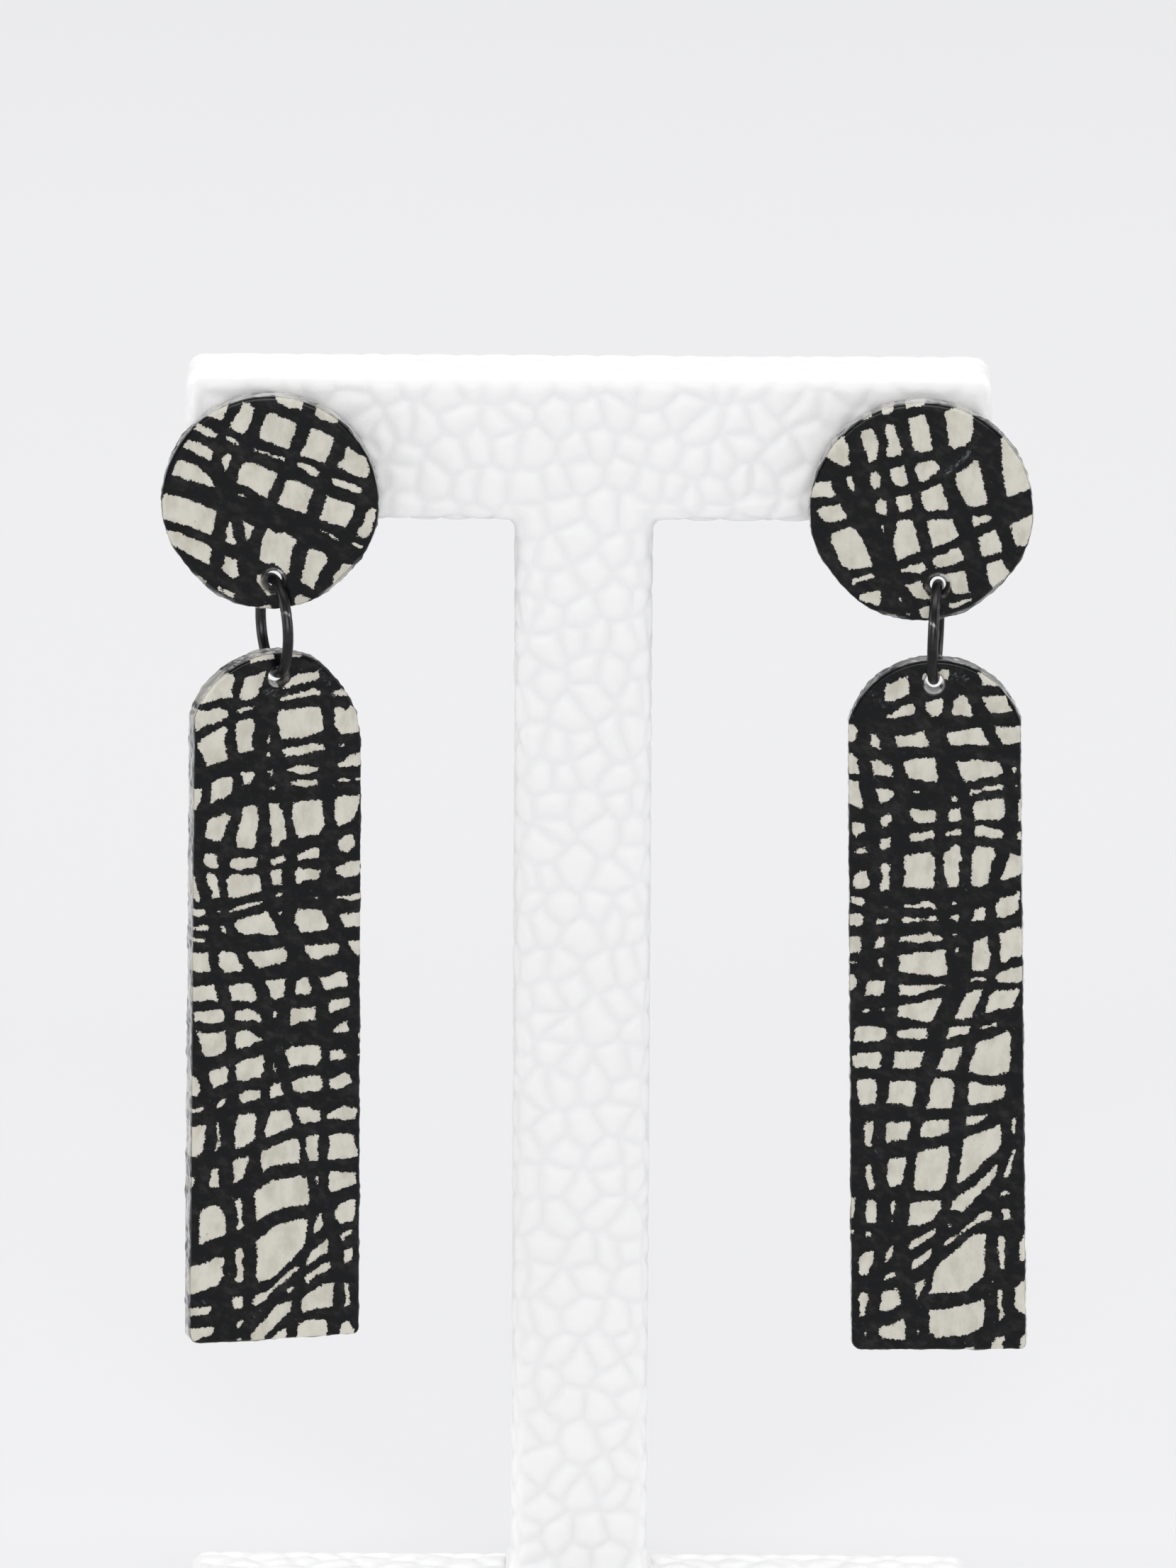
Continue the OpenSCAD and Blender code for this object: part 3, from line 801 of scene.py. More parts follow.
RIGHT_DROP_WINDOWS: Windows = (
    (-40, 20, -33, 19, -30, 16, -22, 14, -21, 19, -20, 30, -28, 33, -37, 36, -41, 35, -41, 26),
    (-40, 48, -30, 43, -27, 40, -18, 37, -15, 44, -17, 47, -27, 48, -32, 50, -39, 49),
    (-10, 11, -6, 11, -6, 17, -10, 17),
    (4, 9, 13, 8, 13, 14, 10, 18, 6, 15, 4, 12),
    (-7, 36, 0, 34, 8, 32, 8, 41, 4, 48, -1, 49, -5, 45, -8, 40),
    (16, 36, 21, 30, 27, 30, 28, 35, 31, 42, 32, 49, 24, 48, 14, 48, 15, 41),
    (36, 12, 42, 9, 52, 15, 60, 23, 40, 22, 39, 16),
    (40, 32, 48, 31, 60, 31, 62, 38, 65, 44, 58, 46, 47, 46, 43, 41, 41, 36),
    (50, 57, 61, 58, 76, 56, 76, 71, 56, 73, 54, 67, 51, 63),
    (-76, 54, -67, 55, -63, 60, -65, 66, -67, 70, -76, 71),
    (-55, 62, -48, 64, -46, 67, -46, 72, -43, 76, -47, 77, -51, 74, -54, 72, -52, 68),
    (-34, 64, -30, 65, -24, 65, -16, 63, -9, 61, -8, 65, -5, 69, -4, 74, -12, 75, -31, 74, -32, 69),
    (11, 62, 21, 61, 30, 59, 38, 58, 41, 62, 42, 67, 46, 71, 44, 74, 35, 73, 13, 73, 11, 70),
    (-76, 80, -69, 80, -64, 84, -63, 98, -68, 97, -76, 96),
    (-54, 86, -45, 85, -42, 89, -36, 90, -34, 96, -35, 100, -43, 99, -51, 99, -52, 93),
    (-26, 87, -15, 84, -3, 83, 1, 85, 2, 97, 3, 104, 1, 105, -8, 104, -21, 101, -24, 95, -26, 90),
    (17, 87, 30, 86, 37, 86, 42, 87, 53, 87, 56, 93, 57, 96, 53, 100, 40, 101, 32, 104, 26, 105, 21,
     98, 19, 90),
    (64, 92, 67, 92, 68, 95, 66, 97, 64, 94),
    (-77, 101, -63, 104, -62, 110, -60, 121, -60, 127, -64, 127, -70, 123, -77, 122),
    (-50, 110, -39, 110, -33, 115, -38, 120, -44, 123, -47, 120, -47, 116),
    (-19, 112, -11, 113, -12, 115, -17, 114),
    (28, 115, 30, 111, 38, 111, 41, 108, 49, 108, 53, 106, 57, 107, 56, 111, 49, 112, 40, 112, 37,
     114, 30, 116),
    (14, 118, 16, 116, 19, 119, 18, 121, 14, 121),
    (67, 107, 70, 109, 69, 111, 67, 109),
    (76, 117, 70, 119, 69, 130, 69, 138, 76, 139),
    (34, 121, 44, 120, 49, 119, 58, 118, 58, 134, 56, 137, 45, 137, 33, 138, 32, 131, 31, 125),
    (-20, 127, -16, 127, -12, 129, -1, 128, 1, 131, 1, 138, -3, 139, -14, 140, -20, 135),
    (12, 128, 21, 127, 22, 138, 12, 139, 11, 133),
    (-46, 137, -44, 134, -39, 132, -36, 131, -35, 137, -39, 139, -40, 142, -44, 143, -45, 140),
    (-69, 139, -62, 139, -58, 141, -58, 146, -62, 147, -66, 151, -68, 149, -69, 143),
    (-22, 148, -10, 148, -6, 146, -1, 145, -1, 153, -4, 153, -10, 155, -21, 156, -22, 151),
    (8, 150, 10, 147, 20, 144, 22, 146, 21, 151, 13, 150, 9, 151),
    (33, 142, 37, 141, 44, 143, 52, 145, 56, 146, 57, 149, 55, 153, 45, 153, 40, 151, 33, 151),
    (76, 144, 68, 149, 68, 154, 76, 156),
    (-46, 153, -43, 153, -37, 151, -37, 160, -40, 161, -44, 163, -46, 161),
    (-67, 164, -63, 161, -58, 160, -57, 165, -60, 166, -66, 166),
    (-25, 167, -17, 166, -14, 165, -4, 164, 0, 170, 0, 178, -1, 195, -12, 196, -18, 195, -27, 194,
     -27, 190, -25, 187, -26, 176),
    (7, 166, 13, 162, 16, 157, 21, 160, 22, 170, 20, 175, 20, 193, 15, 195, 10, 195, 9, 188, 7,
     180),
    (32, 162, 35, 159, 42, 160, 49, 161, 50, 168, 47, 175, 45, 184, 44, 192, 37, 195, 29, 192, 30,
     185, 30, 170),
    (58, 177, 61, 170, 63, 165, 70, 168, 76, 167, 76, 182, 64, 187, 57, 189, 54, 188, 57, 183),
    (-68, 183, -63, 180, -57, 180, -56, 185, -54, 189, -56, 194, -60, 196, -67, 195, -69, 190),
    (-46, 175, -42, 173, -37, 175, -38, 180, -38, 197, -45, 198, -46, 192, -44, 185),
    (-72, 205, -69, 201, -66, 203, -61, 203, -58, 207, -61, 210, -67, 209, -71, 207),
    (-26, 209, -15, 209, -11, 206, -3, 207, 0, 210, 0, 213, -6, 212, -26, 212),
    (-47, 209, -43, 211, -39, 210, -41, 213, -45, 211),
    (13, 209, 15, 207, 18, 207, 18, 210, 14, 210),
    (-77, 217, -63, 217, -59, 220, -61, 224, -62, 227, -66, 228, -67, 227, -77, 227),
    (-29, 223, -28, 220, -24, 220, -20, 221, -7, 221, -4, 218, 0, 219, 3, 223, 0, 224, -8, 223, -16,
     224, -25, 225, -28, 225),
    (-51, 225, -49, 222, -40, 221, -40, 224, -46, 226, -50, 227),
    (12, 221, 16, 218, 20, 218, 19, 223, 17, 225, 15, 222),
    (30, 223, 32, 218, 33, 214, 40, 211, 42, 214, 41, 219, 41, 224, 32, 223),
    (50, 210, 54, 204, 64, 202, 70, 197, 71, 200, 69, 208, 69, 213, 64, 219, 57, 221, 51, 221, 50,
     216),
    (14, 235, 16, 234, 18, 235, 18, 237, 15, 238),
    (-30, 237, -24, 236, -8, 234, -6, 233, -3, 235, 4, 235, 6, 239, 4, 241, -6, 241, -12, 243, -15,
     243, -20, 241, -30, 241),
    (-50, 240, -47, 237, -43, 237, -43, 246, -47, 247, -51, 247),
    (-77, 236, -63, 236, -62, 240, -62, 248, -64, 250, -77, 252),
    (16, 248, 19, 246, 19, 249, 17, 252),
    (-32, 253, -20, 252, -19, 250, -2, 250, 2, 247, 8, 248, 8, 256, 10, 263, 9, 270, 2, 272, -8,
     270, -20, 269, -30, 267, -32, 265, -30, 260),
    (32, 240, 40, 239, 43, 237, 44, 247, 46, 253, 44, 264, 41, 266, 33, 267, 30, 267, 30, 260, 31,
     248),
    (52, 234, 58, 233, 61, 231, 69, 229, 76, 232, 76, 252, 69, 255, 62, 255, 58, 259, 54, 260, 53,
     253, 54, 243),
    (-50, 256, -43, 255, -44, 259, -45, 263, -47, 263, -48, 258),
    (-73, 258, -65, 258, -66, 260, -72, 260),
    (50, 270, 60, 265, 69, 263, 76, 261, 76, 274, 68, 277, 61, 277, 51, 277, 50, 273),
    (-77, 269, -68, 269, -66, 273, -67, 280, -70, 283, -77, 284),
    (-60, 287, -58, 277, -55, 275, -43, 275, -43, 287, -50, 287),
    (27, 276, 30, 273, 36, 272, 42, 273, 41, 276, 33, 275, 28, 277),
    (-31, 277, -24, 279, -8, 278, 4, 278, 8, 277, 8, 280, -3, 283, -16, 287, -31, 288),
    (-62, 299, -60, 299, -43, 298, -43, 301, -51, 300, -60, 302, -62, 302),
    (-32, 297, -26, 295, -12, 293, -3, 291, 5, 289, 4, 295, 0, 300, 0, 304, -3, 309, -8, 311, -20,
     308, -24, 306, -32, 306),
    (15, 308, 20, 296, 25, 286, 32, 283, 39, 282, 36, 291, 32, 300, 30, 307, 22, 308),
    (40, 303, 42, 297, 44, 288, 48, 284, 58, 283, 64, 283, 70, 281, 70, 283, 66, 291, 64, 299, 50,
     300, 44, 303),
    (-68, 316, -66, 314, -60, 313, -54, 314, -44, 315, -42, 317, -42, 323, -46, 327, -70, 327, -68,
     320),
    (-33, 320, -32, 317, -23, 316, -8, 316, -7, 319, -8, 325, -27, 325, -29, 324, -33, 323),
    (9, 321, 10, 316, 16, 314, 28, 314, 28, 320, 25, 321, 18, 322, 13, 324, 8, 325),
    (36, 315, 42, 314, 49, 311, 51, 312, 50, 314, 43, 316, 37, 317),
    (33, 329, 37, 327, 45, 325, 56, 320, 60, 317, 62, 320, 62, 343, 60, 353, 58, 355, 48, 357, 37,
     357, 32, 355, 26, 354, 28, 345, 32, 336),
    (-71, 340, -66, 337, -47, 336, -46, 340, -47, 350, -48, 351, -54, 351, -60, 349, -68, 350, -70,
     345),
    (-35, 336, -26, 335, -10, 336, -12, 341, -14, 350, -23, 351, -37, 350, -36, 343),
    (5, 334, 13, 333, 22, 331, 20, 340, 17, 349, 15, 353, 4, 353, 0, 351, 3, 343, 5, 339),
    (-67, 360, -58, 359, -50, 360, -50, 375, -52, 380, -63, 382, -66, 376, -67, 367),
    (-39, 361, -17, 361, -18, 372, -20, 380, -22, 384, -28, 381, -42, 381, -43, 379, -41, 376, -40,
     367),
    (-4, 364, -2, 359, 4, 358, 12, 360, 15, 363, 14, 373, 13, 380, 12, 385, -8, 385, -10, 384, -7,
     379, -6, 369),
    (26, 365, 28, 361, 33, 362, 40, 365, 57, 365, 58, 368, 56, 377, 50, 378, 45, 380, 30, 382, 26,
     382, 26, 374),
    (24, 392, 32, 391, 45, 390, 41, 392, 34, 398, 26, 399, 24, 399),
    (-61, 399, -58, 395, -53, 395, -53, 399, -54, 405, -55, 417, -59, 417, -61, 412, -61, 405),
    (-43, 397, -37, 395, -34, 397, -23, 395, -22, 400, -24, 405, -25, 411, -38, 412, -40, 414, -43,
     415, -43, 407),
    (-12, 395, 2, 395, 10, 394, 10, 404, 5, 407, -6, 410, -14, 409, -15, 407, -13, 401),
    (21, 411, 30, 407, 41, 404, 50, 399, 53, 398, 54, 407, 53, 416, 50, 422, 41, 428, 33, 437, 24,
     445, 17, 449, 16, 445, 19, 433, 21, 420),
    (63, 393, 66, 393, 66, 399, 65, 407, 63, 407, 62, 403),
    (-42, 429, -40, 427, -27, 426, -26, 431, -28, 439, -30, 449, -35, 450, -39, 452, -42, 446, -42,
     438),
    (-60, 432, -55, 431, -55, 440, -53, 449, -54, 454, -57, 453, -59, 448, -60, 440),
    (-17, 423, -11, 420, -1, 418, 9, 416, 10, 428, 8, 439, 6, 450, 3, 454, -7, 455, -20, 454, -20,
     446, -19, 436),
    (10, 471, 12, 464, 20, 457, 32, 450, 37, 444, 45, 437, 51, 430, 50, 439, 45, 448, 41, 452, 36,
     457, 28, 465, 20, 473, 16, 471),
    (64, 419, 66, 421, 62, 433, 60, 443, 56, 444, 55, 440, 59, 432, 62, 424),
    (52, 460, 53, 457, 58, 453, 60, 457, 56, 459),
    (52, 471, 60, 470, 62, 479, 55, 480, 54, 475),
    (-77, 460, -69, 460, -69, 467, -70, 473, -71, 478, -77, 479),
    (-60, 467, -59, 463, -54, 461, -51, 464, -51, 481, -60, 482, -61, 475),
    (-39, 465, -37, 463, -35, 465, -37, 472, -38, 485, -39, 484, -39, 475),
    (-24, 465, -20, 464, 3, 462, 3, 467, 0, 475, -4, 479, -15, 484, -26, 485, -24, 477),
    (8, 483, 12, 482, 11, 485, 9, 486),
    (-77, 486, -70, 487, -70, 490, -77, 491),
    (-61, 489, -56, 489, -54, 491, -56, 493, -60, 494),
    (-25, 501, -23, 497, -14, 493, -6, 488, -2, 486, -1, 490, -7, 495, -16, 501, -24, 505),
    (4, 500, 8, 496, 17, 491, 24, 484, 30, 480, 34, 475, 42, 471, 45, 473, 45, 479, 37, 481, 30,
     484, 22, 489, 13, 497, 6, 502),
    (-22, 515, -20, 513, -12, 508, -6, 503, -4, 505, -6, 509, -11, 515, -22, 522),
    (-4, 525, 0, 517, 8, 510, 17, 503, 24, 496, 30, 491, 40, 491, 40, 496, 39, 509, 39, 520, 38,
     528, 30, 533, 24, 539, 16, 541, 8, 541, -8, 542, -6, 536, -5, 531),
    (-66, 511, -63, 507, -56, 505, -54, 506, -54, 515, -58, 520, -59, 525, -66, 525, -66, 516),
    (-44, 509, -42, 504, -39, 501, -38, 501, -38, 511, -43, 515, -45, 515),
    (-45, 527, -40, 524, -36, 522, -36, 527, -40, 529, -45, 530),
    (-19, 532, -16, 531, -11, 529, -12, 535, -15, 541, -18, 547, -19, 543),
    (-68, 546, -64, 539, -59, 541, -59, 547, -61, 553, -62, 561, -66, 561, -66, 549),
    (-48, 541, -44, 539, -35, 537, -33, 541, -31, 551, -35, 553, -43, 557, -50, 556, -50, 553, -48,
     548),
    (-50, 570, -38, 568, -30, 563, -28, 567, -28, 582, -39, 581, -48, 580, -50, 576),
    (-63, 575, -60, 574, -60, 578, -62, 579),
    (-18, 573, -16, 572, -16, 577, -17, 580, -18, 579),
    (-8, 556, 10, 554, 22, 551, 32, 549, 37, 546, 39, 549, 39, 557, 38, 568, 34, 572, 26, 577, 18,
     578, 2, 579, -3, 580, -4, 577, -8, 577, -8, 567),
    (50, 496, 52, 493, 56, 493, 57, 497, 56, 503, 56, 512, 55, 521, 52, 522, 51, 513, 50, 504),
    (68, 499, 72, 492, 76, 489, 76, 510, 71, 515, 68, 515, 68, 507),
    (65, 536, 69, 533, 76, 528, 76, 562, 68, 558, 64, 553, 64, 544),
    (50, 539, 54, 538, 54, 544, 53, 551, 55, 560, 54, 564, 50, 566, 51, 556, 49, 549, 50, 545),
    (45, 584, 48, 580, 53, 579, 56, 578, 54, 585, 54, 596, 43, 596, 43, 591),
    (69, 581, 72, 576, 77, 574, 77, 590, 68, 592, 68, 586),
    (45, 531, 47, 531, 46, 533),
    (22, 588, 30, 588, 30, 596, 22, 596),
)


def spacing(fine: float) -> float:
    """Remesh spacing in millimetres, as given."""
    return fine * 1.0


def smooth(values: np.ndarray, low: float, high: float) -> np.ndarray:
    """Rises smoothly from 0 to 1 as the values go from low to high."""
    ratio = np.clip((values - low) / (high - low), 0.0, 1.0)
    return ratio * ratio * (3.0 - 2.0 * ratio)


def waves(points: np.ndarray, scale: float, seed: float) -> np.ndarray:
    """Gentle noise between -1 and 1 on each point, with so many waves per millimetre."""
    shift = Vector((seed, 2.0 * seed, -seed))
    return np.array([noise.noise(Vector(point) * scale + shift) for point in points])


def reach(spots: np.ndarray, start: np.ndarray, end: np.ndarray) -> np.ndarray:
    """Distance from a straight line between two places.

    Args:
        spots: Where to measure, two coordinates a spot.
        start: One end of the line.
        end: The other end.

    Returns:
        The distance of each spot.
    """
    run, offset = end - start, spots - start
    along = np.clip(offset @ run / max(run @ run, TINY), 0.0, 1.0)
    gap = offset - along[:, None] * run
    return np.hypot(gap[:, 0], gap[:, 1])


def strongest(count: int, parts: Iterable[np.ndarray]) -> np.ndarray:
    """The greatest of several strengths on each point, or 0 where there are none."""
    return np.maximum.reduce([np.zeros(count), *parts])


def bearing(across: np.ndarray, up: np.ndarray) -> np.ndarray:
    """Angle in degrees, from 0 to 360, turning up from the right."""
    return np.degrees(np.arctan2(up, across)) % 360.0


def get_points(mesh: bpy.types.Mesh, what: str = "co") -> np.ndarray:
    """Reads a mesh's points or their normals.

    Args:
        mesh: The mesh.
        what: "co" or "normal".

    Returns:
        One row a point.
    """
    flat = np.empty(3 * len(mesh.vertices), np.float32)
    mesh.vertices.foreach_get(what, flat)
    return flat.reshape(-1, 3).astype(float)


def set_points(mesh: bpy.types.Mesh, points: np.ndarray) -> None:
    """Moves a mesh's points to new places, one row a point."""
    mesh.vertices.foreach_set("co", points.astype(np.float32).ravel())
    mesh.update()


def store(mesh: bpy.types.Mesh, name: str, values: np.ndarray) -> None:
    """Stores one value a point on a mesh, for its finish to read."""
    layer = mesh.attributes.new(name, "FLOAT", "POINT")
    layer.data.foreach_set("value", values.astype(np.float32))


def link(name: str, data: bpy.types.ID) -> bpy.types.Object:
    """Puts an object of some data into the scene.

    Args:
        name: The object's name.
        data: Its mesh, lamp or camera.

    Returns:
        The object.
    """
    made = bpy.data.objects.new(name, data)
    bpy.context.scene.collection.objects.link(made)
    return made


def solid(name: str, bm: bmesh.types.BMesh) -> bpy.types.Object:
    """Closes a bmesh into a linked object with outward faces.

    Args:
        name: The piece's name.
        bm: Its shape, in millimetres.

    Returns:
        The object.
    """
    bmesh.ops.remove_doubles(bm, verts=bm.verts, dist=WELD)
    bmesh.ops.recalc_face_normals(bm, faces=bm.faces)
    mesh = bpy.data.meshes.new(name)
    bm.to_mesh(mesh)
    bm.free()
    return link(name, mesh)


def stand_up(bm: bmesh.types.BMesh, place: Triple) -> None:
    """Turns a shape that lies about Z to stand about Y, then moves it.

    Args:
        bm: The shape, about the origin.
        place: Where its origin goes.
    """
    turn = Matrix.Rotation(math.pi / 2, 3, "X")
    bmesh.ops.rotate(bm, cent=(0, 0, 0), matrix=turn, verts=bm.verts)
    bmesh.ops.translate(bm, vec=place, verts=bm.verts)


def turned(bm: bmesh.types.BMesh, geom: Geom, axis: Triple, steps: int) -> bmesh.types.BMesh:
    """Turns a profile fully round an axis through the origin.

    Args:
        bm: Where the profile is.
        geom: The profile's corners and edges.
        axis: The axis.
        steps: Steps of the turn.

    Returns:
        The turned shape.
    """
    bmesh.ops.spin(
        bm, geom=geom, cent=(0, 0, 0), axis=axis, angle=2 * math.pi, steps=steps,
        use_merge=True, use_duplicate=False,
    )
    return bm


def lathed(profile: Sequence[Pair], steps: int) -> bmesh.types.BMesh:
    """Turns a profile about the Y axis.

    Args:
        profile: Radius and Y of each corner, from one end of the axis to the other.
        steps: Steps of the full turn.

    Returns:
        The turned shape.
    """
    bm = bmesh.new()
    corners = [bm.verts.new((radius, along, 0.0)) for radius, along in profile]
    edges = [bm.edges.new(pair) for pair in zip(corners, corners[1:])]
    return turned(bm, corners + edges, (0, 1, 0), steps)


def round_edges(
    bm: bmesh.types.BMesh, edges: Iterable[bmesh.types.BMEdge], radius: float, segments: int
) -> None:
    """Rounds some edges.

    Args:
        bm: The shape.
        edges: Its edges to round.
        radius: How far the rounding reaches.
        segments: Steps of the rounding.
    """
    bmesh.ops.bevel(
        bm, geom=list(edges), offset=radius, offset_type="OFFSET", affect="EDGES",
        segments=segments, profile=0.5, material=-1,
    )


def apply_modifiers(piece: bpy.types.Object) -> None:
    """Bakes a piece's modifiers into its mesh.

    Args:
        piece: The piece.
    """
    bpy.context.view_layer.update()
    evaluated = piece.evaluated_get(bpy.context.evaluated_depsgraph_get())
    mesh = bpy.data.meshes.new_from_object(evaluated)
    piece.modifiers.clear()
    old, piece.data = piece.data, mesh
    bpy.data.meshes.remove(old)
    mesh.name = piece.name


def cut_away(piece: bpy.types.Object, bm: bmesh.types.BMesh) -> None:
    """Cuts a shape out of a piece.

    Args:
        piece: The piece, in millimetres.
        bm: The shape of what is cut away.
    """
    cutter = solid("drill_bit", bm)
    cut = piece.modifiers.new("hole", "BOOLEAN")
    cut.operation = "DIFFERENCE"
    cut.object = cutter
    apply_modifiers(piece)
    bpy.data.objects.remove(cutter)


def remesh(piece: bpy.types.Object, grid: float) -> None:
    """Rebuilds a piece as one even skin of small quads.

    Args:
        piece: The piece, in millimetres.
        grid: Size of a quad.
    """
    skin = piece.modifiers.new("skin", "REMESH")
    skin.mode = "VOXEL"
    skin.voxel_size = spacing(grid)
    skin.use_smooth_shade = True
    apply_modifiers(piece)


def dress(
    piece: bpy.types.Object, place: Matrix, finish: bpy.types.Material, body: str,
    node: str,
) -> None:
    """Places a piece and gives it its finish, its body and the node that it stands for.

    Args:
        piece: The piece in millimetres, about its own origin.
        place: Its place in millimetres.
        finish: Its material.
        body: The body that it rides on.
        node: The node that it replaces.
    """
    piece.data.transform(Matrix.Scale(MM, 4) @ place)
    piece.data.materials.clear()
    piece.data.materials.append(finish)
    for face in piece.data.polygons:
        face.use_smooth = True
    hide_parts(node)
    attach(piece, body)
    LOG.info("%s: %d faces on %s", piece.name, len(piece.data.polygons), body)


@dataclass
class DisplayStand:
    """T-shaped stand: a flat base and one upright board, both wrapped in leatherette.

    A least is the strength of the pebbles that is left where the cover is pulled smooth,
    and a band is where that starts and where it ends.
    """

    base: Triple = (66.0, 44.0, 8.0)
    height: float = 112.3
    bar: Pair = (67.0, 12.8)
    bar_shift: float = 0.4
    post_width: float = 11.6
    board: float = 9.0
    back_inset: float = 1.0
    edge: float = 1.5
    edge_steps: int = 6
    pin_places: Pair = (-25.96, 27.93)
    pin_hole: float = 1.0
    pin_hole_sides: int = 24
    grid: float = 0.30
    flare: float = 0.45
    flare_height: float = 2.2
    flare_rim: float = 1.6
    cobble: Pair = (2.55, 2.75)
    cobble_seed: int = 41
    cobble_table: Tuple[int, int, int] = (61, 67, 3)
    cobble_reach: int = 2
    jitter: float = 0.78
    sway: float = 0.16
    sway_waves: Tuple[Pair, Pair] = ((0.7, 1.1), (1.3, -0.9))
    back_cut: Pair = (150.0, 40.0)
    back_slope: float = 0.7
    groove_depth: float = 0.27
    groove_width: float = 1.15
    groove_shade: float = 0.75
    pillow: float = 2.2
    own_depth: float = 0.03
    crumple: float = 0.016
    crumple_waves: Pair = (1.5, 31.0)
    edge_band: Pair = (0.5, 2.1)
    base_least: float = 0.25
    low_least: float = 0.80
    high_least: float = 0.25
    high_band: Pair = (4.0, 8.0)
    end_loss: float = 0.55
    base_foot: float = 0.4
    post_foot: float = 0.2
    neck: float = 0.5
    neck_least: float = 0.3
    neck_band: Pair = (0.3, 2.0)
    finish: Leatherette = field(default_factory=Leatherette)

    @property
    def back(self) -> float:
        """Y of the board's back."""
        return self.base[1] / 2 - self.back_inset

    def _padded(self, bm: bmesh.types.BMesh, low: Triple, high: Triple, flat_foot: bool) -> None:
        """Adds a box with rounded edges.

        Args:
            bm: Where it goes.
            low: Its lowest corner.
            high: Its highest corner.
            flat_foot: Whether the edges at its underside stay sharp.
        """
        made = bmesh.ops.create_cube(bm, size=1.0)["verts"]
        bmesh.ops.scale(bm, vec=Vector(high) - Vector(low), verts=made)
        bmesh.ops.translate(bm, vec=(Vector(high) + Vector(low)) / 2, verts=made)
        edges = {edge for vert in made for edge in vert.link_edges}
        if flat_foot:
            edges = {edge for edge in edges if max(v.co.z for v in edge.verts) > low[2] + NEAR}
        round_edges(bm, edges, self.edge, self.edge_steps)

    def _unwrapped(self, points: np.ndarray, normals: np.ndarray, front: float) -> np.ndarray:
        """Lays the cover flat: the front as it is, the other faces folded out from its edges.

        Args:
            points: Points in millimetres.
            normals: Their normals.
            front: Y of the piece's front.

        Returns:
            Two coordinates a point.
        """
        flat, outward = points[:, [0, 2]], normals[:, [0, 2]]
        depth = (points[:, 1] - front)[:, None]
        sideways = np.abs(outward[:, :1]) >= np.abs(outward[:, 1:])
        folded = np.hstack([sideways, ~sideways]) * np.sign(outward) * depth
        behind = normals[:, 1:2] > self.back_slope
        return flat + np.where(behind, np.array(self.back_cut), folded)

    def _cobbles(self, flat: np.ndarray) -> Tuple[np.ndarray, np.ndarray]:
        """Reads the embossed cobbles on the flat cover.

        Args:
            flat: Two coordinates a point.

        Returns:
            Distance to the nearest groove, and each cobble's own height from 0 to 1.
        """
        size = np.array(self.cobble)
        rows, columns, _ = self.cobble_table
        spots = flat + self.sway * np.sin(flat @ np.array(self.sway_waves))
        table = np.random.default_rng(self.cobble_seed).random(self.cobble_table)
        home = np.floor(spots / size).astype(int)
        nearest = np.full(len(spots), ENDLESS)
        own = np.zeros((len(spots), 2))
        height = np.zeros(len(spots))
        around = []
        wide = 2 * self.cobble_reach + 1
        for step in np.ndindex(wide, wide):
            cell = home + np.array(step) - self.cobble_reach
            draw = table[cell[:, 0] % rows, cell[:, 1] % columns]
            bond = np.stack([0.5 * (cell[:, 1] % 2), np.zeros(len(cell))], axis=1)
            seed = (cell + 0.5 + bond + (draw[:, :2] - 0.5) * self.jitter) * size
            around.append(seed)
            gap = np.hypot(*(spots - seed).T)
            closer = gap < nearest
            nearest = np.where(closer, gap, nearest)
            own = np.where(closer[:, None], seed, own)
            height = np.where(closer, draw[:, 2], height)
        groove = np.full(len(spots), ENDLESS)
        for seed in around:
            run = seed - own
            length = np.hypot(*run.T)
            half_way = np.einsum("ij,ij->i", (seed + own) / 2 - spots, run)
            gap = half_way / np.maximum(length, TINY)
            groove = np.where(length > NEAR, np.minimum(groove, gap), groove)
        return groove, height

    def _pebbled(
        self, piece: bpy.types.Object, front: float, calm: Callable[[np.ndarray], np.ndarray]
    ) -> None:
        """Presses the leatherette's grooves into a skin and stores the mask of the painted shade in
        them.

        Args:
            piece: The skinned piece, in millimetres.
            front: Y of the piece's front.
            calm: How strong the grooves are at each point, from 0 to 1.
        """
        points = get_points(piece.data)
        normals = get_points(piece.data, "normal")
        groove, height = self._cobbles(self._unwrapped(points, normals, front))
        trough = (1.0 - np.clip(groove / self.groove_width, 0.0, 1.0)) ** self.pillow
        crumple = self.crumple * (1.0 - waves(points, *self.crumple_waves))
        strength = calm(points)
        pressed = (self.groove_depth * trough + self.own_depth * height + crumple) * strength
        set_points(piece.data, points - normals * pressed[:, None])
        # painted shade: the stored groove mask darkens the cover's colour towards each groove
        store(piece.data, "groove", (1.0 - smooth(groove, 0.0, self.groove_shade)) * strength)

    def _calm_edge(
        self, first: np.ndarray, second: np.ndarray, least: Union[float, np.ndarray]
    ) -> np.ndarray:
        """Strength of the grooves, less where two faces meet and the cover is pulled smooth."""
        return least + (1.0 - least) * smooth(np.maximum(first, second), *self.edge_band)

    def _calm_base(self, spots: np.ndarray) -> np.ndarray:
        """The cover lies smoother over the base's edges and at its cut foot.

        Args:
            spots: Points in millimetres.

        Returns:
            Strength of the grooves.
        """
        width, depth, thickness = self.base
        across, deep, up = spots.T
        inward = np.minimum(width / 2 - np.abs(across), depth / 2 - np.abs(deep))
        foot = np.clip(up - self.base_foot, 0.0, 1.0)
        return foot * self._calm_edge(thickness - up, inward, self.base_least)

